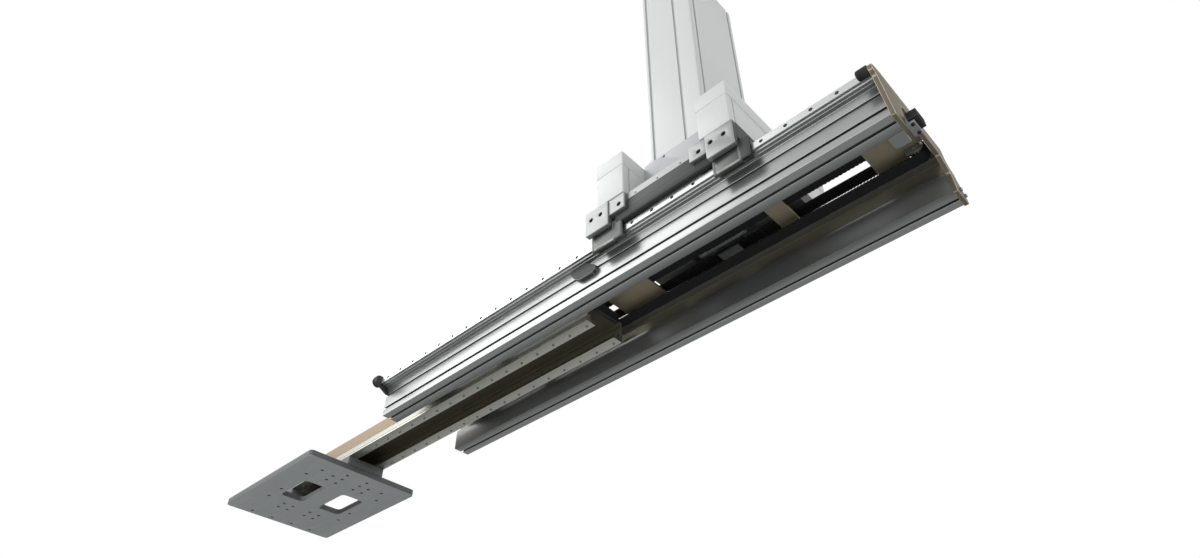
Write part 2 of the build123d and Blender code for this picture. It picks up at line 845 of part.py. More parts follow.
# Aprons between the housings, in front of and behind the column's foot
for side, name in sides:
    with BuildPart() as apron:
        start = housing_starts[0] + housing_long
        with BuildSketch(upright(side * apron_face)):
            with Locations(((start + housing_starts[1]) / 2, (clamp_top + apron_top) / 2)):
                Rectangle(housing_starts[1] - start, apron_top - clamp_top)
            with Locations(apron_screw):
                Circle(bar_screw, mode=Mode.SUBTRACT)
        extrude(amount=side * apron_thick)
    pieces[f"apron_{name}"] = apron.part

# Column: a grooved hollow profile with tapped cores, and a gusset over the left housing
with BuildPart() as column:
    half_x = column_wide / 2
    half_y = column_deep / 2
    with BuildSketch(level(clamp_top)):
        with Locations((column_mid, 0)):
            RectangleRounded(column_wide, column_deep, column_corner)
            RectangleRounded(
                column_wide - 2 * column_wall, column_deep - 2 * column_wall, 4, mode=Mode.SUBTRACT
            )
            with GridLocations(core_x, core_y, 2, 2):
                Circle(core_boss)
        slot_marks = [
            (column_mid - half_x + x, side * half_y)
            for x in (column_slot_near, column_slot_mid) for side, _ in sides
        ]
        with Locations(slot_marks):
            Rectangle(column_slot, 2 * column_slot_deep, mode=Mode.SUBTRACT)
        side_marks = [
            (column_mid + face * half_x, side * (half_y - column_side_slot))
            for face in (-1, 1) for side, _ in sides
        ]
        with Locations(side_marks):
            Rectangle(2 * column_slot_deep, column_slot, mode=Mode.SUBTRACT)
    extrude(amount=column_top - clamp_top)
    with BuildSketch(upright(-gusset_half)):
        with BuildLine():
            Polyline(
                [(column_mid - half_x, gusset_high), (column_mid - half_x - gusset_reach, gusset_low),
                 (column_mid - half_x - gusset_reach, housing_top), (column_mid - half_x, housing_top)],
                close=True,
            )
        make_face()
    extrude(amount=-2 * gusset_half)
    with BuildSketch(level(column_top)):
        with Locations((column_mid, 0)):
            with GridLocations(core_x, core_y, 2, 2):
                Circle(core_hole)
    extrude(amount=-core_deep, mode=Mode.SUBTRACT)
pieces["column"] = column.part

os.makedirs("parts", exist_ok=True)
for name, part in pieces.items():
    part.label = name
    export_step(part, f"parts/{name}.step")
print(len(pieces), "pieces")
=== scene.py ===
"""Looks of the telescopic linear actuator, laid out as a Blender add-on.

Sizes in the code are millimetres in the beam's own numbers: lengths from the guide rail's first
hole, widths from the beam's middle, heights from the undersides of the feet. Every finished
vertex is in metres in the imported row's frame.
"""

import json
import math

import bpy
import numpy as np
from bpy.props import FloatProperty, FloatVectorProperty, IntProperty, PointerProperty
from mathutils import Matrix, Vector
from mathutils.geometry import tessellate_polygon


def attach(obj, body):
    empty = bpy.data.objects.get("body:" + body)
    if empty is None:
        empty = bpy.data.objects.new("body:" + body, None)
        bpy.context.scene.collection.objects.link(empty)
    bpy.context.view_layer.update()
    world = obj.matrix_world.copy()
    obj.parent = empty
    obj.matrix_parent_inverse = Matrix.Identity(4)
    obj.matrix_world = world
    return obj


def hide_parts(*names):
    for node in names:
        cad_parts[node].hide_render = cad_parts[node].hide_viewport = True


bl_info = {
    "name": "Telescopic linear actuator",
    "version": (1, 0, 0),
    "blender": (4, 5, 0),
    "location": "View3D > Sidebar > Actuator",
    "description": "Builds the looks of a telescopic linear actuator around its packed frame",
    "category": "Object",
}

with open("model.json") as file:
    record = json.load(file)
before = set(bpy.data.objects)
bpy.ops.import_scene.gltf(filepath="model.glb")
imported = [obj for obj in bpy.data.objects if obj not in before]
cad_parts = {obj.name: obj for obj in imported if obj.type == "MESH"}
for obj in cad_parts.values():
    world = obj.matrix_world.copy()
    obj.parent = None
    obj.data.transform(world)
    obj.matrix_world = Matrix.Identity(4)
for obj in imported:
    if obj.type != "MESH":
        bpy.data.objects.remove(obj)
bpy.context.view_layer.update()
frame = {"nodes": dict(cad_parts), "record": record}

# Where the row's frame has its origin, in the beam's own numbers
ORIGIN = np.array([1059.5, 0.0, 1150.0])
SIDES = ((-1, "near"), (1, "far"))
AXES = {
    # axis: the two directions across it, its own, and the sign that keeps outlines facing outwards
    "x": (1, 2, 0, 1),
    "y": (0, 2, 1, -1),
    "z": (0, 1, 2, 1),
}
# Radius that closes a turned piece at its axis
POLE = 0.01
# Mark of a slot's bottom, a painted shade
DEEP = -0.85
# Degrees between two faces from which their edge is shown sharp
SHARP = 35
SHADES = {
    # place: its mark, lower where the photograph shows more shade
    "wall slot": -0.66,
    "wall foot": -0.12,
    "wall ledge": -0.6,
    "runner cap": -0.5,
    "end plate": -0.42,
    "bumper plate": -0.8,
    "switch cam": -0.72,
    "belt inside": -0.3,
    "channel inside": -0.75,
    "channel flank": -0.25,
    "bar flank": -0.4,
    "bar underside": -0.45,
    "tool hole": -0.6,
    "tool side": -0.62,
    "spacer": -0.6,
    "clamp hole": -0.8,
    "side bar": -0.73,
    "side bar foot": -0.84,
    "apron hole": -0.6,
}


# Geometry


class Solid:
    """Closed surface held as arrays: corners in millimetres, faces, and each corner's mark.

    The mark is one on a worn edge, nought on a plain face, and the lower below nought the more
    shade a face lies in.
    """

    def __init__(self, corners=None, quads=None, tris=None, mark=None):
        self.corners = np.zeros((0, 3)) if corners is None else np.asarray(corners, float)
        self.quads = np.zeros((0, 4), int) if quads is None else np.asarray(quads, int)
        self.tris = np.zeros((0, 3), int) if tris is None else np.asarray(tris, int)
        self.mark = np.zeros(len(self.corners)) if mark is None else np.asarray(mark, float)

    def __add__(self, other):
        step = len(self.corners)
        return Solid(
            np.vstack([self.corners, other.corners]),
            np.vstack([self.quads, other.quads + step]),
            np.vstack([self.tris, other.tris + step]),
            np.concatenate([self.mark, other.mark]),
        )

    def copies(self, spots):
        """The same solid at every spot, moved by the spot's three numbers."""
        spots = np.asarray(spots, float).reshape(-1, 3)
        count, size = len(spots), len(self.corners)
        steps = np.arange(count)[:, None, None] * size
        return Solid(
            (self.corners[None] + spots[:, None]).reshape(-1, 3),
            (self.quads[None] + steps).reshape(-1, 4),
            (self.tris[None] + steps).reshape(-1, 3),
            np.tile(self.mark, count),
        )

    def plain(self, mark):
        """The solid with the same mark on every corner."""
        self.mark = np.full(len(self.corners), float(mark))
        return self

    def darken(self, where, mark):
        """Lowers the marks of the chosen corners to the given one."""
        self.mark = np.where(where, np.minimum(self.mark, mark), self.mark)


def joined(parts):
    """All the solids of a list as one."""
    total = Solid()
    for part in parts:
        total = total + part
    return total


def area(points):
    """Signed area of a closed outline: half the sum of x times next y less y times next x."""
    x, y = points.T
    return 0.5 * float(np.sum(x * np.roll(y, -1) - y * np.roll(x, -1)))


def rounded(points, radius=1.0, steps=3, deep=()):
    """Outline with each corner turned into a curve.

    The outline leaves one edge at a and joins the next at b, both a radius from their corner p,
    or 0.46 of an edge that is short. Between them it is (1-s) squared times a, plus 2s(1-s)
    times p, plus s squared times b. The corners listed as deep get the mark of a slot's bottom,
    its painted shade.
    """
    p = np.asarray(points, float)
    back, ahead = np.roll(p, 1, 0) - p, np.roll(p, -1, 0) - p
    long_back = np.linalg.norm(back, axis=1, keepdims=True)
    long_ahead = np.linalg.norm(ahead, axis=1, keepdims=True)
    reach = np.broadcast_to(np.asarray(radius, float).reshape(-1, 1), (len(p), 1))
    t_back, t_ahead = np.minimum(reach, 0.46 * long_back), np.minimum(reach, 0.46 * long_ahead)
    a, b = p + back / long_back * t_back, p + ahead / long_ahead * t_ahead
    s = np.linspace(0, 1, steps + 1)[None, :, None]
    curve = (1 - s) ** 2 * a[:, None] + 2 * s * (1 - s) * p[:, None] + s**2 * b[:, None]
    mark = np.tile(1 - np.abs(2 * s[0, :, 0] - 1), (len(p), 1))
    mark[list(deep)] = DEEP
    return curve.reshape(-1, 2), mark.ravel()


def around(centre, reach, angle):
    """Points round a centre: the centre plus the reach times each angle's cosine and sine."""
    return np.stack([centre[0] + reach * np.cos(angle), centre[1] + reach * np.sin(angle)], 1)


def circle(centre, radius, steps=24):
    """Round outline of even steps."""
    return around(centre, radius, np.arange(steps) * 2 * np.pi / steps), np.zeros(steps)


def tooth_gap(turn):
    """Nought on a tooth and one in a gap, with sloping flanks: a half less 1.4 times the cosine
    of the turn, held between nought and one."""
    return np.clip(0.5 - 1.4 * np.cos(turn), 0, 1)


def smooth(step):
    """Three times the step's square less twice its cube, which rounds both ends of a slope."""
    return step**2 * (3 - 2 * step)


def toothed(centre, radius, teeth, depth):
    """Round outline whose radius falls by the depth in even gaps, which get painted shade."""
    angle = np.arange(teeth * 8) * 2 * np.pi / (teeth * 8)
    gap = tooth_gap(teeth * angle)
    return around(centre, radius - depth * smooth(gap), angle), -0.8 * gap


def corners_of(low, high):
    """Corners of a rectangle, counter-clockwise."""
    return [(low[0], low[1]), (high[0], low[1]), (high[0], high[1]), (low[0], high[1])]


def inset(points, amount):
    """Outline moved to its left by an amount: each corner goes along the sum of its two edges'
    normals, divided by one plus their dot product, which keeps the edges parallel."""
    run = np.roll(points, -1, 0) - points
    run = run / np.maximum(np.linalg.norm(run, axis=1, keepdims=True), 1e-9)
    normal = np.stack([-run[:, 1], run[:, 0]], 1)
    before = np.roll(normal, 1, 0)
    dot = np.sum(normal * before, axis=1, keepdims=True)
    return points + amount * (normal + before) / np.maximum(1 + dot, 0.25)


def rows_of(count, size):
    """Corner numbers of rows that close round, the next number along each row, and the quads
    between the rows."""
    index = np.arange(count * size).reshape(count, size)
    ahead = np.roll(index, -1, 1)
    return index, ahead, np.stack([index[:-1], ahead[:-1], ahead[1:], index[1:]], -1).reshape(-1, 4)


def prism(outline, holes=(), axis="x", span=(0, 1), bevel=0.6):
    """Outline and its holes drawn along an axis, with a rounded rim at both ends.

    Station by station the outline is inset by bevel times one minus the sine of a quarter turn,
    while it advances by bevel times one minus the cosine. A bevel takes at most 0.45 of the length.
    """
    first, second, third, sign = AXES[axis]
    low, high = sorted((sign * span[0], sign * span[1]))
    loops = []
    for (points, mark), hole in [(outline, False)] + [(h, True) for h in holes]:
        if (area(points) > 0) == hole:
            points, mark = points[::-1], mark[::-1]
        loops.append((points, mark))
    bevel = min(bevel, (high - low) * 0.45)
    at, shrink, rim = np.array([low, high]), np.zeros(2), np.zeros(2)
    if bevel > 0:
        turn = np.radians([0, 30, 60, 90])
        shrink, reach = bevel * (1 - np.sin(turn)), bevel * (1 - np.cos(turn))
        rim = np.array([0.0, 1.0, 1.0, 0.0])
        at = np.concatenate([low + reach, high - reach[::-1]])
        shrink, rim = np.concatenate([shrink, shrink[::-1]]), np.concatenate([rim, rim[::-1]])
    count = len(at)
    solid, caps = Solid(), []
    for points, mark in loops:
        size = len(points)
        corners = np.zeros((count, size, 3))
        flat = np.stack([inset(points, amount) for amount in shrink])
        corners[:, :, first], corners[:, :, second] = flat[..., 0], flat[..., 1]
        corners[:, :, third] = sign * at[:, None]
        quads = rows_of(count, size)[2]
        # Negative marks are painted shade and pass through; other corners take the worn rim of the ends
        worn = np.where(mark[None] < 0, mark[None], np.maximum(mark[None], rim[:, None]))
        if bevel > 0:
            worn[0] = worn[-1] = 0
        caps.append((corners, len(solid.corners)))
        solid = solid + Solid(corners.reshape(-1, 3), quads, None, worn.ravel())
    for station in (0, count - 1):
        flat = [[Vector((c[first], c[second], 0)) for c in corners[station]] for corners, _ in caps]
        where = np.concatenate(
            [base + station * corners.shape[1] + np.arange(corners.shape[1]) for corners, base in caps]
        )
        tris = where[np.array(tessellate_polygon(flat), int)]
        span_a = solid.corners[tris[:, 1]] - solid.corners[tris[:, 0]]
        span_b = solid.corners[tris[:, 2]] - solid.corners[tris[:, 0]]
        facing = np.cross(span_a, span_b)[:, third] * sign * (1 if station else -1)
        tris[facing < 0] = tris[facing < 0][:, ::-1]
        solid.tris = np.vstack([solid.tris, tris])
    return solid


def panel(low, high, radius, axis, span, bevel=0.6, holes=(), steps=3):
    """Rectangle with rounded corners, drawn along an axis."""
    return prism(rounded(corners_of(low, high), radius, steps), holes, axis, span, bevel)


def turned(profile, centre, axis="x", steps=32, mark=None):
    """Profile of (radius, height) pairs turned about an axis through the centre.

    A corner at angle v is centre plus radius times (cosine v, sine v) across the axis, and
    height along it.
    """
    first, second, third, sign = AXES[axis]
    profile = np.asarray(profile, float)
    angle = np.arange(steps) * 2 * np.pi / steps
    corners = np.zeros((len(profile), steps, 3))
    corners[:, :, first] = centre[first] + profile[:, :1] * np.cos(angle)[None]
    corners[:, :, second] = centre[second] + profile[:, :1] * np.sin(angle)[None]
    corners[:, :, third] = centre[third] + sign * profile[:, 1:]
    index, ahead, quads = rows_of(len(profile), steps)
    flat = corners.reshape(-1, 3)
    middle = np.zeros((2, 3))
    middle[:, first], middle[:, second] = centre[first], centre[second]
    middle[:, third] = centre[third] + sign * profile[[0, -1], 1]
    base = len(flat)
    low = np.stack([np.full(steps, base), ahead[0], index[0]], 1)
    high = np.stack([np.full(steps, base + 1), index[-1], ahead[-1]], 1)
    ring = np.zeros(len(profile)) if mark is None else np.asarray(mark, float)
    marks = np.concatenate([np.repeat(ring, steps), np.zeros(2)])
    return Solid(np.vstack([flat, middle]), quads, np.vstack([low, high]), marks)


def screws(spots, radius, tall, axis="x", way=1):
    """Socket head screws that stand on the spots and point one way along an axis.

    Each is a rounded disc, and its six-sided socket goes down to 0.35 of its height and has the
    painted shade of a slot's bottom.
    """
    socket, mark = circle((0, 0), radius * 0.56, 6)
    head, floor = circle((0, 0), radius, 20), way * tall * 0.35
    top = prism(head, [(socket, mark + DEEP)], axis, (floor, way * tall), 0.3)
    return (top + prism(head, (), axis, (0, floor), 0)).copies(spots)


def outward(solid):
    """Turns every face over if the solid's signed volume, the sum of a dot (b cross c) over its
    triangles divided by six, is negative."""
    q = solid.quads
    tris = np.vstack([solid.tris, q[:, [0, 1, 2]], q[:, [0, 2, 3]]])
    a, b, c = (solid.corners[tris[:, n]] for n in range(3))
    if np.sum(a * np.cross(b, c)) < 0:
        solid.quads, solid.tris = solid.quads[:, ::-1], solid.tris[:, ::-1]
    return solid


def finish_piece(name, solid, body, slot, nodes=(), warm=None):
    """Makes the object at the origin, unturned, hangs it on its body's empty, hides the CAD nodes it
    stands for and gives it its slot's finish.

    The last argument gives, corner by corner, how much painted tan light the surface takes: the
    brown reflection of the plates it faces, or on a tan surface the lighter tan of a lit face.
    """
    mesh = bpy.data.meshes.new(name)
    corners = (solid.corners - ORIGIN) / 1000
    mesh.from_pydata(corners.tolist(), [], solid.quads.tolist() + solid.tris.tolist())
    stored = {"mark": solid.mark} if warm is None else {"mark": solid.mark, "warm": warm}
    for key, values in stored.items():
        layer = mesh.attributes.new(key, "FLOAT", "POINT")
        layer.data.foreach_set("value", values.astype(np.float32))
    mesh.shade_smooth()
    mesh.set_sharp_from_angle(angle=math.radians(SHARP))
    piece = bpy.data.objects.new(name, mesh)
    bpy.context.scene.collection.objects.link(piece)
    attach(piece, body)
    if nodes:
        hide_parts(*nodes)
    mesh.materials.append(material(slot))


# Materials


class Field:
    """A shader socket that adds, subtracts and multiplies like a number."""

    def __init__(self, graph, socket):
        self.graph, self.socket = graph, socket

    def __add__(self, other):
        return self.graph.maths("ADD", self, other)

    def __sub__(self, other):
        return self.graph.maths("SUBTRACT", self, other)

    def __rsub__(self, other):
        return self.graph.maths("SUBTRACT", other, self)

    def __mul__(self, other):
        return self.graph.maths("MULTIPLY", self, other)

    def __neg__(self):
        return self.graph.maths("MULTIPLY", self, -1.0)

    __radd__ = __add__
    __rmul__ = __mul__

    def clipped(self):
        """The value held between nought and one."""
        return self.graph.maths("ADD", self, 0.0, clamp=True)


class Graph:
    """Node tree of a material or a world."""

    def __init__(self, owner):
        owner.use_nodes = True
        self.tree = owner.node_tree

    def node(self, kind, settings=None, values=None):
        """Adds a node, sets it up, fills or links its inputs, and returns its outputs by their
        names and their numbers."""
        made = self.tree.nodes.new("ShaderNode" + kind)
        for key, value in (settings or {}).items():
            setattr(made, key, value)
        for key, value in (values or {}).items():
            self.feed(made.inputs[key], value)
        outputs = [Field(self, out) for out in made.outputs]
        return dict(enumerate(outputs)) | {out.socket.name: out for out in outputs}

    def feed(self, socket, value):
        """Links a field to a socket, or stores a plain value in it."""
        if isinstance(value, Field):
            self.tree.links.new(value.socket, socket)
        else:
            socket.default_value = value

    def maths(self, how, one, two, clamp=False):
        """One arithmetic step between two fields or numbers."""
        return self.node("Math", {"operation": how, "use_clamp": clamp}, {0: one, 1: two})["Value"]


class Surface(Graph):
    """Node tree of one material, with a Principled shader and the object's own coordinates."""

    def __init__(self, name):
        self.material = bpy.data.materials.new(name)
        super().__init__(self.material)
        self.shader = self.tree.nodes["Principled BSDF"]
        self.place = self.node("TexCoord")["Object"]

    def noise(self, scale, detail=2.0, stretch=(1, 1, 1), rough=0.5):
        """Even noise round one half, drawn out along the direction whose stretch is small."""
        spot = self.node("Mapping", None, {"Vector": self.place, "Scale": stretch})["Vector"]
        values = {"Vector": spot, "Scale": scale, "Detail": detail, "Roughness": rough}
        return self.node("TexNoise", None, values)["Fac"]

    def stored(self, name):
        """Number stored with the surface's corners."""
        return self.node("Attribute", {"attribute_name": name})["Fac"]

    def scaled(self, colour, amount):
        """Colour times a number that varies."""
        return self.node("VectorMath", {"operation": "SCALE"}, {0: colour, "Scale": amount})["Vector"]

    def blend(self, amount, one, two):
        """Colour that goes from one to two."""
        return self.node("Mix", {"data_type": "RGBA"}, {0: amount, 6: one, 7: two})[2]

    def finished(self, sockets):
        """The material, with its shader's sockets filled or linked by their names."""
        for key, value in sockets.items():
            self.feed(self.shader.inputs[key], value)
        return self.material


FINISHES = {
    # slot: (metallic, roughness, streak axis, streak depth, bump, worn colour, worn roughness)
    "white_paint": (0.0, 0.42, None, 0.03, 0.10, (0.74, 0.75, 0.74), 0.36),
    "apron_paint": (0.0, 0.40, None, 0.03, 0.10, (0.64, 0.64, 0.68), 0.34),
    "wall_aluminium": (0.82, 0.31, "x", 0.06, 0.03, (0.80, 0.80, 0.79), 0.22),
    "tan_anodised": (0.50, 0.44, "x", 0.08, 0.12, (0.62, 0.55, 0.45), 0.28),
    "rail_steel": (1.0, 0.34, "x", 0.08, 0.03, (0.72, 0.72, 0.71), 0.22),
    "runner_steel": (1.0, 0.36, "x", 0.10, 0.14, (0.50, 0.50, 0.49), 0.24),
    "carriage_grey": (0.75, 0.40, "x", 0.08, 0.14, (0.42, 0.43, 0.42), 0.28),
    "bar_bright": (1.0, 0.30, "x", 0.12, 0.10, (0.70, 0.70, 0.68), 0.20),
    "plate_grey": (0.45, 0.45, "x", 0.10, 0.16, (0.40, 0.41, 0.41), 0.30),
    "belt_rubber": (0.0, 0.72, "x", 0.10, 0.30, (0.05, 0.05, 0.05), 0.60),
    "bumper_rubber": (0.0, 0.66, None, 0.10, 0.30, (0.05, 0.05, 0.05), 0.50),
    "pulley_metal": (1.0, 0.32, "y", 0.12, 0.12, (0.66, 0.66, 0.65), 0.20),
    "bracket_metal": (0.75, 0.40, "z", 0.10, 0.14, (0.46, 0.46, 0.46), 0.26),
    "black_block": (0.0, 0.52, None, 0.10, 0.20, (0.07, 0.07, 0.07), 0.40),
}
STRETCH = {None: (1, 1, 1), "x": (0.02, 1, 1), "y": (1, 0.02, 1), "z": (1, 1, 0.02)}
# Waves per metre of the slow cloud, the streaks, the specks of a surface without streaks, the
# grain in the bump and the wear along edges
CLOUD, STREAK, SPECK, GRAIN, WEAR = 3.0, 420.0, 60.0, 900.0, 35.0
# Painted tan light: on a tan surface the lighter, pinker tan of a lit face, on the others the
# brown reflection of the tan plates
PAINTED_LIT_TAN, PAINTED_REFLECTED_TAN = (0.38, 0.28, 0.185, 1), (0.27, 0.24, 0.15, 1)
# Share of its colour that the deepest shade takes from a surface
DARKEST = 0.96
# Place along the beam, in metres, past which the carriage's grey parts lie in shade, and its depth
CARRIAGE_END, END_SHADE = 0.2146, 0.76
made_materials = {}


def material(slot):
    """The slot's finish, made once.

    The colour is drawn in streaks under a slow cloud of tone, goes over to a painted tan light
    where a surface asks for it (the brown reflection of the plates it faces, or the lighter tan of
    a lit face), to the worn colour along edges, and to painted shade where the mark is below
    nought. The carriage's grey parts also get painted shade past the carriage's right end.
    """
    if slot in made_materials:
        return made_materials[slot]
    colour = (*getattr(bpy.context.scene.actuator_finish, slot), 1)
    metallic, rough, way, depth, bump, worn, worn_rough = FINISHES[slot]
    g = Surface("finish_" + slot)
    cloud = g.noise(CLOUD, 3.0)
    streak = g.noise(STREAK if way else SPECK, 3.0, STRETCH[way], 0.6)
    grain = g.noise(GRAIN, 2.0)
    mark = g.stored("mark")
    edge = (mark * (g.noise(WEAR, 4.0) * 1.6 - 0.25)).clipped()
    shade = (-mark).clipped()
    if slot == "carriage_grey":
        along = g.node("SeparateXYZ", None, {"Vector": g.place})["X"]
        past_end = g.maths("GREATER_THAN", along, CARRIAGE_END)
        shade = g.maths("MAXIMUM", shade, past_end * END_SHADE)
    tone = 1.0 + (streak - 0.5) * (depth * 2.0) + (cloud - 0.5) * (depth * 1.2)
    warm = PAINTED_LIT_TAN if slot == "tan_anodised" else PAINTED_REFLECTED_TAN
    plain = g.scaled(g.blend(g.stored("warm"), colour, warm), tone)
    shown = g.scaled(g.blend(edge, plain, (*worn, 1)), 1.0 - shade * DARKEST)
    dull = rough + (cloud - 0.5) * (rough * 0.30) + (streak - 0.5) * (rough * 0.35)
    dull = (dull + edge * (worn_rough - rough) + shade * 0.3).clipped()
    values = {"Strength": bump, "Distance": 0.0003, "Height": streak * 0.6 + grain * 0.4}
    sockets = {"Base Color": shown, "Roughness": dull, "Metallic": metallic,
               "Normal": g.node("Bump", None, values)["Normal"]}
    if "paint" in slot:
        sockets |= {"Coat Weight": 0.15, "Coat Roughness": 0.2}
    if "rubber" in slot or slot == "black_block":
        sockets["Specular IOR Level"] = 0.2
    made_materials[slot] = g.finished(sockets)
    return made_materials[slot]


def paint_frame():
    """Every CAD node that is still shown takes its slot's finish."""
    for row in frame["record"]["subparts"]:
        node = frame["nodes"][row["node"]]
        node.data.materials.clear()
        node.data.materials.append(material(row["material_slot"]))


# Settings


def length(name, text, value):
    """Length property whose default is given in millimetres."""
    return FloatProperty(name=name, description=text, default=value / 1000, unit="LENGTH", precision=4)


def paint(name, text, value):
    """Colour property."""
    return FloatVectorProperty(name=name, description=text, default=value, subtype="COLOR", min=0, max=1)


def number(name, text, value):
    """Property that holds a plain number."""
    return FloatProperty(name=name, description=text, default=value)


def mm(value):
    """Millimetres of a length property."""
    return value * 1000


class FinishProperties(bpy.types.PropertyGroup):
    """Colour of every finish."""

    white_paint: paint("White paint", "Column, housings and lids", (0.635, 0.655, 0.645))
    apron_paint: paint("Apron paint", "Plates in front of the column's foot", (0.46, 0.465, 0.485))
    wall_aluminium: paint("Side profiles", "Bright drawn aluminium", (0.355, 0.365, 0.36))
    tan_anodised: paint("Tan anodised", "Cross plates, end plate and arm channel", (0.262, 0.225, 0.155))
    rail_steel: paint("Rails", "Ground steel", (0.50, 0.51, 0.51))
    runner_steel: paint("Runner blocks", "Dull steel", (0.092, 0.097, 0.093))
    carriage_grey: paint("Carriage", "Saddle, side bars and clamp plates", (0.262, 0.272, 0.267))
    bar_bright: paint("Arm bars", "Bars along the arm's lower edges", (0.56, 0.56, 0.50))
    plate_grey: paint("Tool plate", "Tool plate and its spacers", (0.32, 0.335, 0.335))
    belt_rubber: paint("Belts", "Black belt rubber", (0.010, 0.010, 0.010))
    bumper_rubber: paint("Bumpers", "Black bumper rubber", (0.014, 0.014, 0.014))
    pulley_metal: paint("Pulleys", "Pulleys, rollers and bright screws", (0.36, 0.36, 0.35))
    bracket_metal: paint("Brackets", "Small brackets, forks and clamps", (0.23, 0.24, 0.24))
    black_block: paint("Black plastic", "End block, connector and clamp screws", (0.020, 0.020, 0.021))


class WallProperties(bpy.types.PropertyGroup):
    """Sizes of the side profiles."""

    lip: length("Lip radius", "Rounding of the profile's corners", 1.0)
    inner_lip: length("Inner lip", "Rounding of the inner face's upper edge", 24.0)
    mouth: length("Slot mouth", "Width of a T-slot's opening", 7.4)
    room: length("Slot room", "Width of a T-slot behind its lips", 11.0)
    depth: length("Slot depth", "Depth of a T-slot", 7.0)


class RailProperties(bpy.types.PropertyGroup):
    """Sizes of the rail screws and runner blocks."""

    screw_radius: length("Screw radius", "Head of a rail screw", 3.9)
    screw_tall: length("Screw height", "Head height of a rail screw", 5.0)
    count: IntProperty(name="Screws", description="Screws along each rail", default=27, min=1)
    corner: length("Runner corner", "Rounding of a runner block's outline", 7.0)
    cap: length("Cap length", "Length of a runner block's end cap", 9.0)
    wiper: length("Wiper", "How much longer a runner block's right end is", 18.0)


class CrossProperties(bpy.types.PropertyGroup):
    """Sizes of the plates across the beam."""

    corner: length("Corner radius", "Rounding of a plate's corners", 3.0)
    bevel: length("Edge", "Rounding of a plate's edges", 0.9)
    head_radius: length("Screw radius", "Head of a cross plate's screw", 5.0)
    head_tall: length("Screw height", "Head height of a cross plate's screw", 3.4)


class EndProperties(bpy.types.PropertyGroup):
    """Sizes of the beam's end fittings."""

    plate_edge: length("Plate edge", "Rounding of the end plate's edges", 1.2)
    arch: length("Opening", "Half-width of the end plate's opening", 106.0)
    screw_radius: length("Screw radius", "Head of an end plate screw", 4.6)
    right_radius: length("Right bumper", "Radius of the bumper behind the end plate", 11.5)
    left_radius: length("Left bumper", "Radius of the bumper on the beam's left end", 17.0)


class BeltProperties(bpy.types.PropertyGroup):
    """Sizes of the telescope belt and its pulleys."""

    pitch: length("Belt pitch", "Tooth pitch of the telescope belt", 8.0)
    depth: length("Tooth depth", "Depth of the gaps between the teeth", 1.2)
    teeth: IntProperty(name="Pulley teeth", description="Teeth of an end pulley", default=13, min=6)


class DriveProperties(bpy.types.PropertyGroup):
    """Sizes of the drive belt, its loop, pulley and rollers."""

    pitch: length("Belt pitch", "Tooth pitch of the drive belt", 10.0)
    depth: length("Tooth depth", "Depth of the gaps between the teeth", 1.3)
    teeth: IntProperty(name="Pulley teeth", description="Teeth of the drive pulley", default=20, min=8)


class ArmProperties(bpy.types.PropertyGroup):
    """Sizes of the arm."""

    corner: length("Channel corner", "Rounding of the channel's corners", 2.0)
    screw_pitch: length("Screw pitch", "Distance between the bars' screws", 61.0)
    screw_radius: length("Screw radius", "Head of a bar screw", 3.5)
    screw_tall: length("Screw height", "Head height of a bar screw", 1.8)


class ToolProperties(bpy.types.PropertyGroup):
    """Sizes of the tool plate."""

    edge: length("Edge", "Rounding of the plate's edges", 1.6)
    hole_radius: length("Hole radius", "Radius of the mounting holes", 4.5)
    window_corner: length("Window corner", "Rounding of the windows' corners", 16.0)


class CarriageProperties(bpy.types.PropertyGroup):
    """Sizes of the clamp plates and side bars."""

    recess: length("Recess", "How far a clamp's inner part lies behind its outer part", 3.5)
    screw_radius: length("Clamp screw", "Head of a clamp plate's screw", 4.2)
    bar_corner: length("Bar corner", "Rounding of a side bar's lower edge", 5.0)
    edge: length("Edge", "Rounding of the plates' edges", 2.0)


class HousingProperties(bpy.types.PropertyGroup):
    """Sizes of the housings, lids and aprons."""

    overhang: length("Lid overhang", "How far a lid stands out over its housing", 1.2)
    seam: length("Seam", "Width of a panel seam", 2.6)
    corner: length("Corner", "Rounding of the upright corners", 3.0)


class ColumnProperties(bpy.types.PropertyGroup):
    """Sizes of the column."""

    groove: length("Groove", "Width of the grooves", 8.0)
    depth: length("Groove depth", "Depth of the grooves", 4.5)
    corner: length("Corner", "Rounding of the upright corners", 7.0)


class StageProperties(bpy.types.PropertyGroup):
    """Floor, lights and camera."""

    floor_height: length("Floor", "Height of the floor", -2600.0)
    floor_colour: paint("Floor colour", "Paint of the floor", (0.80, 0.80, 0.80))
    soft_strength: number("Soft light", "Strength of the even light", 0.40)
    window_power: number("Window", "Power of the near left light", 66.0)
    front_power: number("Front light", "Power of the near side's light", 34.0)
    end_power: number("End light", "Power of the end's light", 50.0)
    under_power: number("Low light", "Power of the light below", 5.0)
    lens: number("Lens", "Focal length in millimetres", 24.034)
    eye: FloatVectorProperty(name="Eye", description="Camera position", default=(0.7632, -1.2178, -2.3575))
    aim: FloatVectorProperty(name="Aim", description="Yaw, pitch and roll in degrees",
                             default=(43.17, 40.13, 0.29))


# Beam

BEAM = (-35, 1575)
CROSS = {"left": (-35, 107), "second": (308, 356), "middle": (716, 850), "fourth": (1204, 1252),
         "right": (1453, 1575)}
CROSS_UNDER, CROSS_TOP, CROSS_HALF = 113, 121, 148
END_FACE = 1585
RAIL_MIDDLE, RAIL_PITCH = 107, 60.0
SLOT_LIP = 2


def slot_notch(along, face, mouth, room, depth):
    """Corners of a T-slot cut into a face: pairs of place along the face and level across it.

    The slot is as wide as its mouth through the lip, and as wide as its room behind it.
    """
    lip, floor = face - SLOT_LIP, face - depth
    half = [(along - mouth / 2, face), (along - mouth / 2, lip), (along - room / 2, lip),
            (along - room / 2, floor)]
    return half + [(2 * along - place, level) for place, level in reversed(half)]


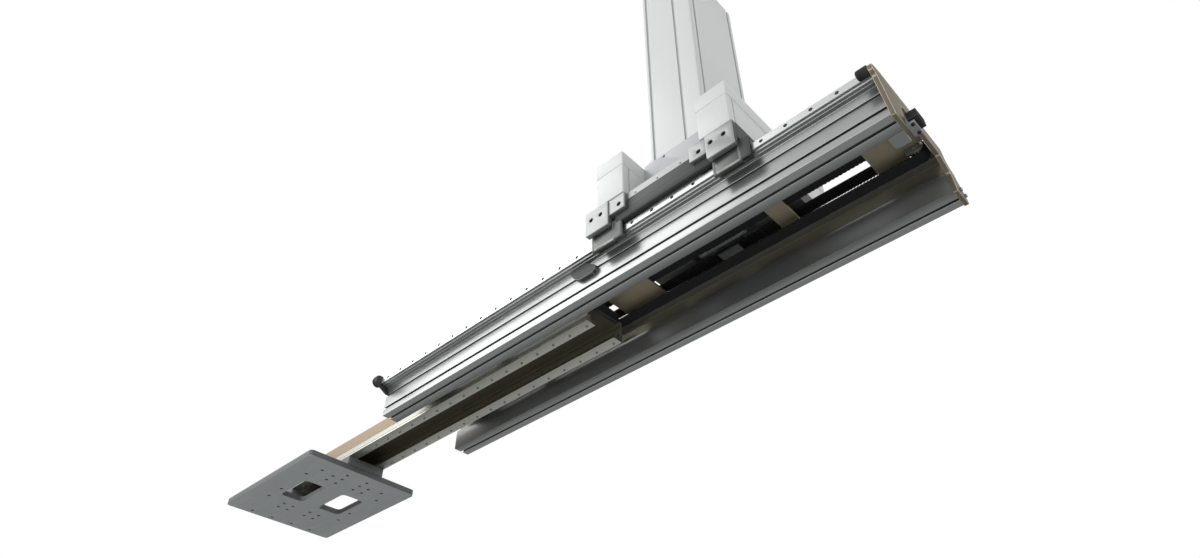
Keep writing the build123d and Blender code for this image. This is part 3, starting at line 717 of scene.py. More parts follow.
class BuildWalls(bpy.types.Operator):
    """Side profiles with their T-slots and hollow chambers"""

    bl_idname = "actuator.walls"
    bl_label = "Side profiles"

    def execute(self, context):
        props = context.scene.actuator_walls
        slot = mm(props.mouth), mm(props.room), mm(props.depth)
        foot_slot, side_slots = 137, (23, 67)
        inner, web, back, outer, shelf = 108.5, 120, 150, 161, 171
        step, shelf_under, shelf_top = 65, 95, 119
        ledge, ledge_under, ledge_top = 100, 105, 113
        wall, floor = 5, 12
        foot = [(foot_slot + along, -level) for along, level in slot_notch(0, 0, *slot)]
        low, high = ([(level, along) for along, level in slot_notch(height, outer, *slot)]
                     for height in side_slots)
        set_back = [(154, 76), (155.5, 76), (155.5, 74.5), (157, 74.5)]
        points = [(inner, 0)] + foot + [(outer, 0)] + low + high[:4] + set_back + [
            (outer, shelf_under), (shelf, shelf_under), (shelf, shelf_top), (back, shelf_top),
            (back, ledge_top), (ledge, ledge_top), (ledge, ledge_under), (web, ledge_under),
            (web, step), (inner, step)]
        deep = [start + n for start in (1, 10, 18) for n in range(1, 7)]
        lip = mm(props.lip)
        radius = [min(lip, 0.5) if n in deep else lip for n in range(len(points))]
        radius[-1] = mm(props.inner_lip)
        rooms = (corners_of((inner + wall, floor), (back, step - 6)),
                 corners_of((web + wall, step), (back, ledge_top - wall)))
        for side, name in SIDES:
            turn = np.array([side, 1])
            holes = [rounded(np.array(room) * turn, 2.0) for room in rooms]
            profile = prism(rounded(np.array(points) * turn, radius, 4, deep), holes, "x", BEAM, 0.7)
            across, height = np.abs(profile.corners[:, 1]), profile.corners[:, 2]
            # Painted shade on the inner face, which lightens with height through its first 45 mm; then
            # painted shade in the slots, under the foot and on the ledge
            fade = 0.5 * np.clip(height / 45, 0, 1) - 0.55
            profile.darken((across < inner + 6) & (height < step + 0.5), fade)
            profile.mark = np.where(profile.mark < -0.7, SHADES["wall slot"], profile.mark)
            profile.darken((height < 0.2) & (across > inner + 3.5), SHADES["wall foot"])
            profile.darken((across < web + 0.5) & (height > ledge_under - 0.5), SHADES["wall ledge"])
            # Painted brown reflection of the tan cross plates on the web's face
            web_face = (across > web - wall) & (across < web + 1)
            web_face = web_face & (height > step - 1) & (height < ledge_under + 1)
            finish_piece(f"wall_{name}_profile", profile, "outer_beam", "wall_aluminium",
                         [f"wall_{name}"], web_face * 0.6)
        return {"FINISHED"}


class BuildRails(bpy.types.Operator):
    """Screws of the side rails, and the runner blocks with their end caps"""

    bl_idname = "actuator.rails"
    bl_label = "Rail screws and runner blocks"

    def execute(self, context):
        props = context.scene.actuator_rails
        back, front, face, half = 175.6, 191, 201, 39
        cover_low, cover_high, cover_depth = 76, 138, 4

        def mirrored(points):
            """The points, and their mirror image above or below the rail's middle."""
            return points + [(y, 2 * RAIL_MIDDLE - z) for y, z in reversed(points)]

        body = mirrored([(back, 85), (front, 85), (front, 75.5), (face, 75.5)])
        gap = mirrored([(back, 118), (178, 118), (180.1, 115.6), (182.9, 115.6), (185, 117.6),
                        (188.2, 117.6), (189, 116.8)])
        corner = [1, 1, 2, mm(props.corner)]
        corner = corner + corner[::-1] + [0.4] * len(gap)
        inside = half - mm(props.cap)
        start = inside - 0.5
        for side, name in SIDES:
            spots = [(RAIL_PITCH * n, side * 180, RAIL_MIDDLE) for n in range(props.count)]
            heads = screws(spots, mm(props.screw_radius), mm(props.screw_tall), "y", side)
            finish_piece(f"rail_screws_{name}", heads, "outer_beam", "pulley_metal")
            turn = np.array([side, 1])
            outline, mark = rounded(np.array(body + gap) * turn, corner, 4)
            small = inset(outline if side > 0 else outline[::-1], 0.5)
            cover = corners_of((front - 0.2, cover_low), (face - 0.4, cover_high))
            cover = rounded(np.array(cover) * turn, [1, 6, 6, 1], 4)
            for x, place in ((880, "left"), (1240, "right")):
                steel = prism((outline, mark), (), "x", (x - inside, x + inside), 0.8)
                finish_piece(f"runner_{name}_{place}_body", steel, "carriage", "runner_steel",
                             [f"runner_{name}_{place}"])
                caps = Solid()
                for way, end in ((-1, half), (1, half + mm(props.wiper))):
                    near = x + way * start
                    caps = caps + prism((small, mark), (), "x", (near, x + way * (end - cover_depth)), 0.6)
                    caps = caps + prism(cover, (), "x", (near, x + way * end), cover_depth)
                finish_piece(f"runner_{name}_{place}_caps", caps.plain(SHADES["runner cap"]),
                             "carriage", "carriage_grey")
        return {"FINISHED"}


class BuildCross(bpy.types.Operator):
    """Plates across the beam with their screws"""

    bl_idname = "actuator.cross"
    bl_label = "Cross plates"

    def execute(self, context):
        props = context.scene.actuator_cross
        pulley_rooms = {"left": (-15.5, 29.5), "right": (1526.5, 1571.5)}
        margin = 14
        for name, (start, stop) in CROSS.items():
            holes = []
            if name in pulley_rooms:
                low, high = pulley_rooms[name]
                holes = [rounded(corners_of((low, 46.2), (high, 91.8)), 2.0)]
            plate = panel((start, -CROSS_HALF), (stop, CROSS_HALF), mm(props.corner), "z",
                          (CROSS_UNDER, CROSS_TOP), mm(props.bevel), holes)
            finish_piece(f"cross_{name}_plate", plate, "outer_beam", "tan_anodised",
                         [f"cross_plate_{name}"])
            spots = [(x, y, CROSS_TOP) for x in (start + margin, stop - margin)
                     for y in (margin - CROSS_HALF, CROSS_HALF - margin)]
            heads = screws(spots, mm(props.head_radius), mm(props.head_tall), "z")
            finish_piece(f"cross_{name}_screws", heads, "outer_beam", "bracket_metal")
        return {"FINISHED"}


def make_end_plate(props):
    """End plate with its open arch, and the screws through its foot."""
    arch, foot, half = mm(props.arch), -5, 161
    outline = [(-half, foot), (-arch, foot), (-arch, 66), (-arch + 12, 78), (72, 78), (arch - 4, 46),
               (arch, foot), (half, foot), (half, 5), (140, 36), (99, 79), (95, 112), (-175, 112),
               (-204, 106), (-213, 98), (-210, 86), (-198, 78)]
    radius = [3, 3, 6, 6, 6, 8, 3, 3, 3, 4, 6, 6, 8, 10, 6, 6, 8]
    plate = prism(rounded(outline, radius, 4), (), "x", (BEAM[1], END_FACE), mm(props.plate_edge))
    plate.mark = np.where(plate.mark > 0.5, plate.mark, SHADES["end plate"])
    finish_piece("end_plate_cut", plate, "outer_beam", "tan_anodised", ["end_plate"])
    heads = screws([(END_FACE, 148, 10), (END_FACE, 126, 12)], mm(props.screw_radius), 4.4)
    finish_piece("end_plate_screws", heads, "outer_beam", "pulley_metal")


def make_bumpers(props):
    """Rubber buffers behind the end plate and on the beam's left end, and the left one's bracket."""
    bracket = (-41, BEAM[0])
    shapes = (("right", mm(props.right_radius), ((0, 21), (1.2, 24.5), (4, 26)), (BEAM[1], -201.5, 97), 32),
              ("left", mm(props.left_radius), ((0, 14), (1.5, 19), (6, 22)), (bracket[0], -188, 112), 36))
    for name, radius, curve, spot, steps in shapes:
        dome = [(POLE, 0), (radius - 1, 0), (radius, -1)]
        dome += [(radius - back, -tall) for back, tall in curve] + [(POLE, -curve[-1][1])]
        rubber = outward(turned(dome, spot, "x", steps, [0, 1, 1, 0, 1, 0, 0]))
        finish_piece(f"bumper_{name}_rubber", rubber, "outer_beam", "bumper_rubber", [f"bumper_{name}"])
    outline = [(-204, 120), (-176, 126), (-140, 104), (-140, 74), (-164, 74), (-205, 98)]
    plate = prism(rounded(outline, 4.0), (), "x", bracket, 0.8)
    finish_piece("bumper_left_plate", plate.plain(SHADES["bumper plate"]), "outer_beam",
                 "bracket_metal", ["bumper_bracket"])


def make_connector():
    """Angle on the end plate, its foot plate, and the plug with two rows of pins."""
    under, lip, pin_pitch, pin_rows = -6, 1602, 4.5, (12.5, 18.5)
    outline = [(END_FACE, under), (lip, under), (lip, -1), (1590, -1), (1590, 18), (END_FACE, 18)]
    angle = prism(rounded(outline, [0.6, 1.5, 0.6, 3, 1, 0.6]), (), "y", (-122, -84), 0.7)
    finish_piece("connector_angle", angle, "outer_beam", "bracket_metal", ["connector_bracket"])
    foot = panel((1542, -108), (1574.5, -73), [2, 2, 2, 10], "z", (0, 4), 0.8)
    finish_piece("end_foot_plate", foot, "outer_beam", "bracket_metal")
    room = rounded(corners_of((-119, 9), (-87, 22)), 3.0)
    shell = panel((-123, 5), (-83, 26), 3.0, "x", (1608, 1611), 0.8, [room])
    base = panel((-123, 5), (-83, 26), 3.0, "x", (1590, 1608.2), 0.6)
    pin = outward(turned([(POLE, 0), (1.2, 0), (1.2, 2), (0.6, 2.4), (POLE, 2.4)], (0, 0, 0), "x", 10))
    pins = pin.copies([(1608, -116.5 + pin_pitch * n, z) for n in range(7) for z in pin_rows])
    heads = screws([(1595.5, -116, under), (1595.5, -90, under)], 3.6, 2.2, "z", -1)
    finish_piece("connector_shell", joined([shell, base, pins, heads]), "outer_beam", "black_block",
                 ["connector"])


def make_switch_cam():
    """Dark plate on the near wall that trips the limit switch."""
    outline = [(747, 93), (742, 82), (756, 60), (773, 47.5), (815, 47.5), (826, 56), (828, 66), (793, 93)]
    cam = prism(rounded(outline, 5.0, 4), (), "y", (-172.5, -161), 1.4)
    cam.mark = np.where(cam.mark > 0.5, 0.0, SHADES["switch cam"])
    finish_piece("switch_cam_plate", cam, "outer_beam", "bracket_metal", ["switch_cam"])


class BuildEnds(bpy.types.Operator):
    """End plate, bumpers, connector and switch cam"""

    bl_idname = "actuator.ends"
    bl_label = "End fittings"

    def execute(self, context):
        props = context.scene.actuator_ends
        make_end_plate(props)
        make_bumpers(props)
        make_connector()
        make_switch_cam()
        return {"FINISHED"}


# Belts


def belt_side(height, start, stop, pitch, depth, way):
    """Points of a toothed run between two lengths: its height goes off by the depth in even gaps."""
    at = np.linspace(start, stop, max(2, int(abs(stop - start) / pitch * 6)))
    return np.stack([at, height + way * depth * smooth(tooth_gap(2 * np.pi * at / pitch))], 1)


def arc(centre, radius, start, stop, steps=24):
    """Points on a circle between two angles in degrees."""
    return around(centre, radius, np.radians(np.linspace(start, stop, steps)))


def band(points, mark=0.0):
    """Outline whose corners all have the same mark."""
    return points, np.full(len(points), mark)


def flanges(spot, radius, steps):
    """The two rims of a wheel of the belt drive."""
    return [prism(circle(spot, radius, steps), (), "y", (y - 1, y + 1), 0.5) for y in (-28, 28)]


class BuildTelescopeBelt(bpy.types.Operator):
    """Endless toothed belt of the telescope and the pulleys at its two ends"""

    bl_idname = "actuator.telescope_belt"
    bl_label = "Telescope belt"

    def execute(self, context):
        props = context.scene.actuator_belt
        left, right, height = 7, 1549, 110
        over, under = 19.5, 16.5
        teeth = mm(props.pitch), mm(props.depth)
        outer = np.vstack([arc((left, height), over, 90, 270), arc((right, height), over, -90, 90)])
        inner = np.vstack([
            arc((left, height), under, 90, 270),
            belt_side(height - under, left + 1, right - 1, *teeth, -1),
            arc((right, height), under, -90, 90),
            belt_side(height + under, right - 1, left + 1, *teeth, 1),
        ])
        belt = prism(band(outer), [band(inner, SHADES["belt inside"])], "y", (53, 85), 0)
        finish_piece("telescope_belt_loop", belt, "outer_beam", "belt_rubber", ["telescope_belt"])
        for spot, name in (((left, height), "left"), ((right, height), "right")):
            drum = prism(toothed(spot, 16.2, props.teeth, teeth[1]), (), "y", (52.2, 85.8), 0.4)
            pin = prism(circle(spot, 6, 24), [circle(spot, 2, 12)], "y", (46.3, 91.7), 0.6)
            finish_piece(f"end_pulley_{name}_drum", drum + pin, f"end_pulley_{name}", "pulley_metal",
                         [f"end_pulley_{name}"])
        return {"FINISHED"}


class BuildDrive(bpy.types.Operator):
    """Drive belt, the loop over its toothed pulley, and the two rollers that lift it"""

    bl_idname = "actuator.drive"
    bl_label = "Belt drive"

    def execute(self, context):
        props = context.scene.actuator_drive
        left, right, top = -29, 1569, 124
        belt, drum = (-25, 25), (-27, 27)
        low = belt_side(CROSS_TOP, left, right, mm(props.pitch), mm(props.depth), 1)
        strip = np.vstack([low, [(right, top), (left, top)]])
        finish_piece("drive_belt_strip", prism(band(strip), (), "y", belt, 0), "outer_beam",
                     "belt_rubber", ["drive_belt"])
        middle, rollers = (1059.5, 215), ((1004.1, 144.3), (1114.9, 144.3))
        thick, on_roller, on_pulley = 3, 20.3, 32.1
        loop = np.vstack([
            arc(rollers[0], on_roller, -55, 0, 10),
            arc(middle, on_pulley + thick, 180, 0, 40),
            arc(rollers[1], on_roller, 180, 235, 10),
            arc(rollers[1], on_roller + thick, 235, 180, 10),
            arc(middle, on_pulley, 0, 180, 40),
            arc(rollers[0], on_roller + thick, 0, -55, 10),
        ])
        finish_piece("drive_belt_lift", prism(band(loop), (), "y", belt, 0), "carriage",
                     "belt_rubber", ["drive_belt_loop"])
        wheel = [prism(toothed(middle, 31.8, props.teeth, 2.2), (), "y", drum, 0),
                 prism(circle(middle, 10, 32), [circle(middle, 3, 16)], "y", (-44, 44), 1.0)]
        finish_piece("drive_pulley_drum", joined(wheel + flanges(middle, 33.8, 48)), "drive_pulley",
                     "pulley_metal", ["drive_pulley"])
        for spot, name in zip(rollers, ("left", "right")):
            wheel = [prism(circle(spot, 20, 40), (), "y", drum, 0),
                     prism(circle(spot, 8, 28), [circle(spot, 2.4, 12)], "y", (-39, 39), 0.8)]
            finish_piece(f"roller_{name}_drum", joined(wheel + flanges(spot, 22, 40)), f"roller_{name}",
                         "pulley_metal", [f"roller_{name}"])
        return {"FINISHED"}


# Arm and tool plate

ARM = (-870, 700)
ARM_HALF, BAR_FOOT = 66.5, 23.5
NECK, SPACER = (-505, -354), (-870, -700)
PLATE_UNDER, PLATE_TOP = -23, -3


class BuildArm(bpy.types.Operator):
    """Arm channel, the bars along its lower edges with their screws, and its end block"""

    bl_idname = "actuator.arm"
    bl_label = "Arm"

    def execute(self, context):
        props = context.scene.actuator_arm
        half, inner, foot, top, inner_top = ARM_HALF, ARM_HALF - 6, 47, 89, 83
        outline = [(-half, foot), (-half, top), (half, top), (half, foot), (inner, foot),
                   (inner, inner_top), (-inner, inner_top), (-inner, foot)]
        corner = mm(props.corner)
        radius = [0.6, corner, corner, 0.6, 0.6, 3, 3, 0.6]
        channel = prism(rounded(outline, radius, 3, (5, 6)), (), "x", ARM, 0.7)
        across = channel.corners[:, 1]
        flanks = np.abs(across) > half - 0.5
        # Painted shade on the channel's inside, lighter towards the far side
        channel.mark = np.where(channel.mark < 0, SHADES["channel inside"] + across * 0.003, channel.mark)
        # The flanks get painted shade and the painted lighter, pinker tan of a lit face
        channel.darken(flanks, SHADES["channel flank"])
        finish_piece("arm_channel_profile", channel, "arm", "tan_anodised", ["arm_channel"], flanks * 0.9)

        groove, groove_low, groove_high = half - 1.2, 28.5, 30
        bar = [(35, BAR_FOOT), (half, BAR_FOOT), (half, groove_low), (groove, groove_low),
               (groove, groove_high), (half, groove_high), (half, foot), (52.5, foot), (52.5, 32.5),
               (35, 32.5)]
        radius = [1.2, 2.0, 0.3, 0.3, 0.3, 0.3, 0.6, 0.6, 2.0, 1.2]
        pitch = mm(props.screw_pitch)
        at = 682 - pitch * np.arange(int(1550 / pitch))
        # The neck and the spacer cover the bars' screws, so there are none where they sit
        at = at[(at > NECK[1] + 29) | ((at > SPACER[1] + 10) & (at < NECK[0] - 10))]
        # Each side with the line of its screws, and the place from which the painted shade on its
        # underside lightens towards the far side; its flank also gets painted shade
        for (side, name), row, start in zip(SIDES, (-48, 54), (-67, 27.5)):
            outline = rounded(np.array(bar) * (side, 1), radius, 3, (3, 4))
            profile = prism(outline, (), "x", ARM, 0.6)
            across, height = profile.corners[:, 1], profile.corners[:, 2]
            flank = (np.abs(across) > half - 0.2) & (height > groove_high - 0.2)
            profile.mark = np.where(flank, SHADES["bar flank"], profile.mark)
            fade = SHADES["bar underside"] * (1 - np.clip((across - start) / 34, 0, 1))
            profile.darken(height < BAR_FOOT + 1.5, fade)
            finish_piece(f"arm_bar_{name}_profile", profile, "arm", "bar_bright", [f"arm_bar_{name}"])
            heads = screws([(x, row, BAR_FOOT) for x in at], mm(props.screw_radius),
                           mm(props.screw_tall), "z", -1)
            finish_piece(f"arm_bar_{name}_screws", heads, "arm", "bracket_metal")
        end = panel((-42, 68), (42, 98), 4.0, "x", (ARM[1], ARM[1] + 12), 1.4)
        finish_piece("arm_end_cap", end, "arm", "black_block", ["arm_end_block"])
        return {"FINISHED"}


class BuildTool(bpy.types.Operator):
    """Tool plate with its windows and holes, and the two spacers it hangs from"""

    bl_idname = "actuator.tool"
    bl_label = "Tool plate"

    def execute(self, context):
        props = context.scene.actuator_tool
        left, right, half, cut = -886, -356, 197.5, 8
        near = [(left, cut - half), (left + cut, -half), (right - cut, -half), (right, cut - half)]
        outline = rounded(near + [(x, -y) for x, y in reversed(near)], 2.0)
        signs = [(a, b) for a in (-1, 1) for b in (-1, 1)]
        # Four holes round the windows, four groups of four, a row of four, and three pairs
        spots = [(-596 + a * 116, b * 134) for a, b in signs]
        spots += [(x + a * 19, y + b * 17) for x in (-449, -749) for y in (-50, 50) for a, b in signs]
        spots += [(-862, 75 * n - 112.5) for n in range(4)]
        spots += [(x, b * y) for x, y in ((-394, 37), (-421, 113), (-636, 132)) for b in (-1, 1)]
        holes = [circle(spot, mm(props.hole_radius), 20) for spot in spots]
        holes = [(points, mark + SHADES["tool hole"]) for points, mark in holes]
        holes += [rounded(corners_of((-677.5, y - 40), (-522.5, y + 40)), mm(props.window_corner), 6)
                  for y in (-71, 71)]
        plate = prism(outline, holes, "z", (PLATE_UNDER, PLATE_TOP), mm(props.edge))
        middle = (PLATE_UNDER + PLATE_TOP) / 2
        sides = np.abs(plate.corners[:, 2] - middle) < 8.6
        plate.mark = np.where(sides, SHADES["tool side"], np.minimum(plate.mark, 0.1))
        finish_piece("tool_plate_cut", plate, "arm", "plate_grey", ["tool_plate"])
        for (start, stop), name in ((NECK, "neck"), (SPACER, "plate_spacer")):
            spacer = panel((start, -ARM_HALF), (stop, ARM_HALF), 6.0, "z", (PLATE_TOP, BAR_FOOT), 0.8,
                           steps=4)
            finish_piece(f"{name}_block", spacer.plain(SHADES["spacer"]), "arm", "plate_grey", [name])
        return {"FINISHED"}


# Carriage

CLAMP_BACK, CLAMP_FACE, CLAMP_TOP, CLAMP_HOLES = 201, 215, 197, 166
CLAMPS = {
    # end: its outer part and its inner part along the beam, and its holes
    "left": ((834, 908), (907, 957.5), (853, 883.5, 940)),
    "right": ((1199, 1274.5), (1151, 1200), (1178, 1214, 1249)),
}
HOUSINGS = {"left": (870, 957.5), "right": (1183, 1270.5)}
HOUSING_HALF, LID_SEAM = 215, 295


def make_clamps(props, side, name):
    """Both clamp plates of one side: each has a tall outer part and a shorter, recessed inner one."""
    edge = mm(props.edge)
    for end, (outer, inner, holes) in CLAMPS.items():
        plate = Solid()
        parts = ((outer, 120, 5.0, CLAMP_FACE), (inner, 148, 2.0, CLAMP_FACE - mm(props.recess)))
        for (start, stop), foot, corner, face in parts:
            drilled = [circle((x, CLAMP_HOLES), 5.0, 20) for x in holes if start < x < stop]
            drilled = [(points, mark + SHADES["clamp hole"]) for points, mark in drilled]
            plate = plate + panel((start, foot), (stop, CLAMP_TOP), corner, "y",
                                  (side * CLAMP_BACK, side * face), edge, drilled)
        plate.mark = np.minimum(plate.mark, 0.35)
        finish_piece(f"clamp_{name}_{end}_plate", plate, "carriage", "carriage_grey",
                     [f"clamp_{name}_{end}"])
        spots = [(x, side * (CLAMP_BACK + 1), CLAMP_HOLES) for x in holes]
        heads = screws(spots, mm(props.screw_radius), 6.5, "y", side)
        finish_piece(f"clamp_{name}_{end}_screws", heads, "carriage", "black_block")


def make_side_bar(props, side, name):
    """Bar between one side's clamp plates, a longer lower part and a shorter upper one."""
    back, low, high = 188, 121, 176
    parts = (((low, 147.5), [1, mm(props.bar_corner), 0.5, 0.5], 6, (919.5, 1200.5), 1.0),
             ((146, high), [0.3, 0.3, 2, 1], 4, (958, 1150.5), 0.6))
    bar = Solid()
    for (foot, top), radius, steps, span, bevel in parts:
        section = np.array(corners_of((back, foot), (CLAMP_BACK, top))) * (side, 1)
        bar = bar + prism(rounded(section, radius, steps), (), "x", span, bevel)
    height = bar.corners[:, 2]
    # Painted shade over the bar, deeper along its foot; only its upper edges keep a worn mark
    bar.mark = np.where((bar.mark > 0.5) & (height > high - 6), 0.6, SHADES["side bar"])
    bar.mark = np.where(height < low + 6, SHADES["side bar foot"], bar.mark)
    finish_piece(f"side_bar_{name}_profile", bar, "carriage", "carriage_grey", [f"side_bar_{name}"])


class BuildCarriage(bpy.types.Operator):
    """Clamp plates with their screws, side bars and the saddle's screws"""

    bl_idname = "actuator.carriage"
    bl_label = "Carriage"

    def execute(self, context):
        props = context.scene.actuator_carriage
        for side, name in SIDES:
            make_clamps(props, side, name)
            make_side_bar(props, side, name)
            spots = [(x, side * 198, 181) for x in (984.5, 1051.5, 1119.5)]
            heads = screws(spots, 3.1, 2.4, "y", side)
            finish_piece(f"saddle_screws_{name}", heads, "carriage", "pulley_metal")
        return {"FINISHED"}


def grooved(low, high, sides, depth, half):
    """Rectangle with square grooves, walked counter-clockwise from its lowest corner.

    Each side lists where the middles of its grooves lie, in the order of the walk. A groove's
    corners are its middle less and plus half its width along the side, on the side and a depth
    inside it. The result is the points, with the numbers of the four corners and of the floors.
    """
    points, corners, floors = [], [], []
    runs = np.array([(1, 0), (0, 1), (-1, 0), (0, -1)])
    for corner, run, middles in zip(corners_of(low, high), runs, sides):
        inward = depth * np.array([-run[1], run[0]])
        corners.append(len(points))
        points.append(corner)
        for middle in middles:
            first, last = (np.where(run == 0, corner, middle) + way * half * run for way in (-1, 1))
            floors += [len(points) + 1, len(points) + 2]
            points += [first, first + inward, last + inward, last]
    return points, corners, floors


class BuildHousings(bpy.types.Operator):
    """Housings with their panel seams, their lids and the aprons between them"""

    bl_idname = "actuator.housings"
    bl_label = "Housings"

    def execute(self, context):
        props = context.scene.actuator_housings
        over, corner = mm(props.overhang), mm(props.corner)
        half, seam = HOUSING_HALF - over, 190
        seams = ((), (-seam, seam), (), (seam, -seam))
        for name, (start, stop) in HOUSINGS.items():
            points, corners, floors = grooved((start + over, -half), (stop - over, half), seams, 2,
                                              mm(props.seam) / 2)
            radius = [corner if n in corners else 0.3 for n in range(len(points))]
            body = prism(rounded(points, radius, 3, floors), (), "z", (CLAMP_TOP, LID_SEAM + 0.4), 0.5)
            # Painted shade in the seams, lighter than a slot's bottom
            body.mark = np.where(body.mark < 0, body.mark * 0.55, body.mark)
            finish_piece(f"housing_{name}_body", body, "carriage", "white_paint", [f"housing_{name}"])
            lid = panel((start, -HOUSING_HALF), (stop, HOUSING_HALF), corner, "z", (LID_SEAM, 341), 1.6,
                        steps=4)
            finish_piece(f"housing_{name}_cover", lid, "carriage", "white_paint", [f"housing_lid_{name}"])
        hole_at, hole_height = 1022, 342
        points, mark = circle((hole_at, hole_height), 3.4, 18)
        hole = (points, mark + SHADES["apron hole"])
        for side, name in SIDES:
            plate = panel((HOUSINGS["left"][1], CLAMP_TOP), (HOUSINGS["right"][0], 350), 2.0, "y",
                          (side * 121, side * 129), 0.8, [hole])
            finish_piece(f"apron_{name}_plate", plate, "carriage", "apron_paint", [f"apron_{name}"])
            head = screws([(hole_at, side * 124, hole_height)], 3.1, 3.6, "y", side)
            finish_piece(f"apron_{name}_screw", head, "carriage", "bracket_metal")
        return {"FINISHED"}


class BuildColumn(bpy.types.Operator):
    """Grooved hollow column and the gusset over the left housing"""

    bl_idname = "actuator.column"
    bl_label = "Column"

    def execute(self, context):
        props = context.scene.actuator_column
        left, right, half, top = 972.0, 1147.0, 118.0, 1150
        long, wide = (left + 14, left + 115), (-98, 98)
        sides = (long, wide, long[::-1], wide[::-1])
        points, corners, floors = grooved((left, -half), (right, half), sides, mm(props.depth),
                                          mm(props.groove) / 2)
        radius = [mm(props.corner) if n in corners else 0.8 for n in range(len(points))]
        bore = rounded(corners_of((left + 12, 12 - half), (right - 12, half - 12)), 4.0)
        body = prism(rounded(points, radius, 5, floors), [bore], "z", (CLAMP_TOP, top), 0.8)
        # Faint painted shade in the grooves, and painted shade lines along the corners in place of worn
        # edges
        body.mark = np.where(body.mark < 0, body.mark * 0.12, body.mark * -0.1)
        outline = [(972.5, 412), (938, 385), (938, 341), (972.5, 341)]
        gusset = prism(rounded(outline, [0.5, 3, 1, 0.5]), (), "y", (-100, 100), 0.8)
        finish_piece("column_profile", body + gusset, "carriage", "white_paint", ["column"])
        return {"FINISHED"}


# Stage

MIDDLE = (-0.26, 0.0, -1.05)
LIGHTS = (
    # light: the setting of its power, its place, its aim, its width and height
    ("light_window", "window_power", (-2.16, -2.02, 0.48), (-0.26, -1.18, -1.80), (2.7, 3.1)),
    ("light_front", "front_power", (-0.8, -4.0, -1.2), MIDDLE, (3.0, 3.0)),
    ("light_end", "end_power", (4.0, -0.8, -0.6), MIDDLE, (2.4, 2.4)),
    ("light_low", "under_power", (-0.5, -1.5, -2.5), MIDDLE, (2.0, 2.0)),
)
FLOOR_HALF = 12.0
PHOTO_WIDTH, SHIFT_RIGHT, SHIFT_UP = 1200, 0.5, 3.5


def stage_material(name, colour):
    """Plain matt surface with a faint grain."""
    g = Surface(name)
    tone = 1.0 + (g.noise(0.8, 2.0) - 0.5) * 0.04
    return g.finished({"Base Color": g.scaled(tuple(colour), tone), "Roughness": 0.9})


def make_floor(props):
    """Square floor round the object."""
    floor = bpy.data.meshes.new("floor")
    corners = [(x, y, props.floor_height) for x, y in corners_of((-FLOOR_HALF,) * 2, (FLOOR_HALF,) * 2)]
    floor.from_pydata(corners, [], [(0, 1, 2, 3)])
    floor.materials.append(stage_material("floor_paint", props.floor_colour))
    shown = bpy.data.objects.new("floor", floor)
    bpy.context.scene.collection.objects.link(shown)


def make_world(strength):
    """Even soft light that the camera, mirror images and see-through surfaces show as plain white."""
    world = bpy.data.worlds.new("studio")
    bpy.context.scene.world = world
    g = Graph(world)
    g.tree.nodes.clear()
    rays = g.node("LightPath")
    seen = g.maths("MAXIMUM", rays["Is Camera Ray"], rays["Is Glossy Ray"])
    seen = g.maths("MAXIMUM", seen, rays["Is Transmission Ray"])
    soft = g.node("Background", None, {"Color": (0.92, 0.95, 0.95, 1), "Strength": strength})[0]
    white = g.node("Background", None, {"Color": (1, 1, 1, 1)})[0]
    g.node("OutputWorld", None, {"Surface": g.node("MixShader", None, {0: seen, 1: soft, 2: white})[0]})


def make_light(name, power, spot, aim, size):
    """Soft rectangular light at a spot, turned to its aim."""
    data = bpy.data.lights.new(name, "AREA")
    data.shape = "RECTANGLE"
    data.energy = power
    data.size, data.size_y = size
    light = bpy.data.objects.new(name, data)
    bpy.context.scene.collection.objects.link(light)
    light.location = spot
    light.rotation_euler = (Vector(aim) - Vector(spot)).to_track_quat("-Z", "Y").to_euler()


def make_camera(props):
    """Camera at the photograph's place.

    It looks along (-sin yaw cos pitch, cos yaw cos pitch, sin pitch) with its right side level,
    and is then rolled about that line.
    """
    data = bpy.data.cameras.new("camera")
    data.sensor_width, data.lens = 36.0, props.lens
    data.shift_x, data.shift_y = SHIFT_RIGHT / PHOTO_WIDTH, SHIFT_UP / PHOTO_WIDTH
    data.clip_start, data.clip_end = 0.01, 100.0
    camera = bpy.data.objects.new("camera", data)
    bpy.context.scene.collection.objects.link(camera)
    yaw, pitch, roll = (math.radians(v) for v in props.aim)
    look = Vector((-math.sin(yaw) * math.cos(pitch), math.cos(yaw) * math.cos(pitch), math.sin(pitch)))
    level = Vector((math.cos(yaw), math.sin(yaw), 0))
    above = level.cross(look)
    right = math.cos(roll) * level + math.sin(roll) * above
    up = math.cos(roll) * above - math.sin(roll) * level
    turn = Matrix((right, up, -look)).transposed()
    camera.matrix_world = Matrix.Translation(Vector(props.eye)) @ turn.to_4x4()
    bpy.context.scene.camera = camera


class BuildStage(bpy.types.Operator):
    """Pale floor well below the object, soft lights, white behind, and the camera"""

    bl_idname = "actuator.stage"
    bl_label = "Stage"

    def execute(self, context):
        props = context.scene.actuator_stage
        make_floor(props)
        make_world(props.soft_strength)
        for name, power, spot, aim, size in LIGHTS:
            make_light(name, getattr(props, power), spot, aim, size)
        make_camera(props)
        context.scene.view_settings.view_transform = "Standard"
        return {"FINISHED"}


# Add-on

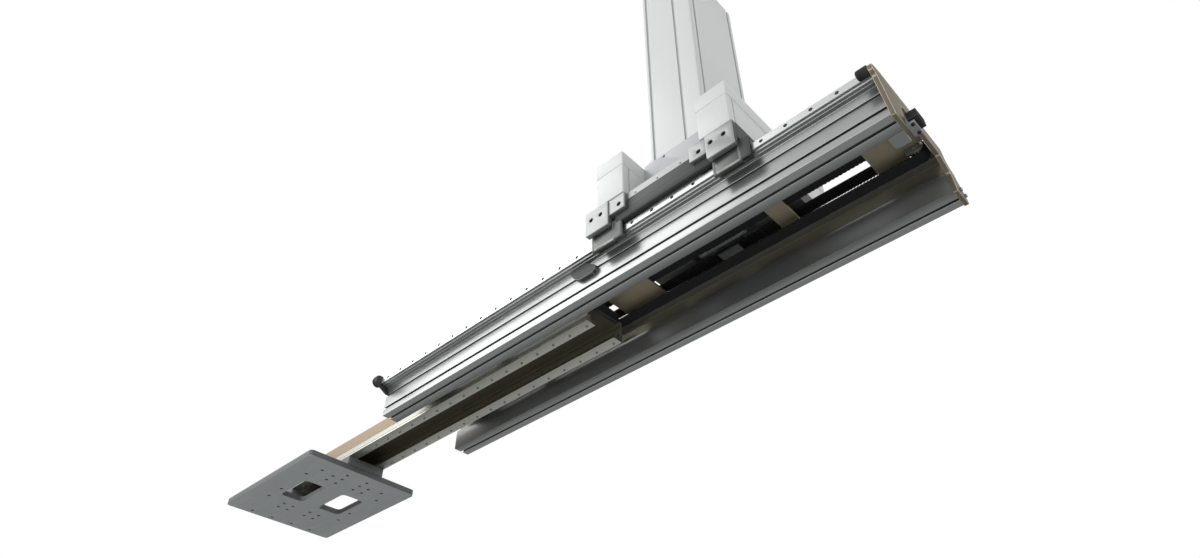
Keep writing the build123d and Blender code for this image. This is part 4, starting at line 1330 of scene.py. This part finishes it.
STEPS = (
    (BuildWalls, WallProperties, "actuator_walls"),
    (BuildRails, RailProperties, "actuator_rails"),
    (BuildCross, CrossProperties, "actuator_cross"),
    (BuildEnds, EndProperties, "actuator_ends"),
    (BuildTelescopeBelt, BeltProperties, "actuator_belt"),
    (BuildDrive, DriveProperties, "actuator_drive"),
    (BuildArm, ArmProperties, "actuator_arm"),
    (BuildTool, ToolProperties, "actuator_tool"),
    (BuildCarriage, CarriageProperties, "actuator_carriage"),
    (BuildHousings, HousingProperties, "actuator_housings"),
    (BuildColumn, ColumnProperties, "actuator_column"),
    (BuildStage, StageProperties, "actuator_stage"),
)


class ActuatorPanel(bpy.types.Panel):
    """Sizes, colours and buttons of the actuator"""

    bl_label = "Linear actuator"
    bl_idname = "ACTUATOR_PT_pieces"
    bl_space_type = "VIEW_3D"
    bl_region_type = "UI"
    bl_category = "Actuator"

    def draw(self, context):
        layout = self.layout
        finish = layout.box()
        finish.label(text="Colours")
        for key in FinishProperties.__annotations__:
            finish.prop(context.scene.actuator_finish, key)
        for step, group, place in STEPS:
            box = layout.box()
            for key in group.__annotations__:
                box.prop(getattr(context.scene, place), key)
            box.operator(step.bl_idname)


def register():
    """Adds the settings, the steps and the panel to Blender."""
    bpy.utils.register_class(FinishProperties)
    bpy.types.Scene.actuator_finish = PointerProperty(type=FinishProperties)
    for step, group, place in STEPS:
        bpy.utils.register_class(group)
        setattr(bpy.types.Scene, place, PointerProperty(type=group))
        bpy.utils.register_class(step)
    bpy.utils.register_class(ActuatorPanel)


def unregister():
    """Takes everything out again."""
    bpy.utils.unregister_class(ActuatorPanel)
    for step, group, place in reversed(STEPS):
        bpy.utils.unregister_class(step)
        delattr(bpy.types.Scene, place)
        bpy.utils.unregister_class(group)
    del bpy.types.Scene.actuator_finish
    bpy.utils.unregister_class(FinishProperties)


def main():
    """Builds everything in order."""
    register()
    paint_frame()
    for step, _, _ in STEPS:
        family, name = step.bl_idname.split(".")
        getattr(getattr(bpy.ops, family), name)()
    bpy.context.view_layer.update()


if __name__ == "__main__":
    main()
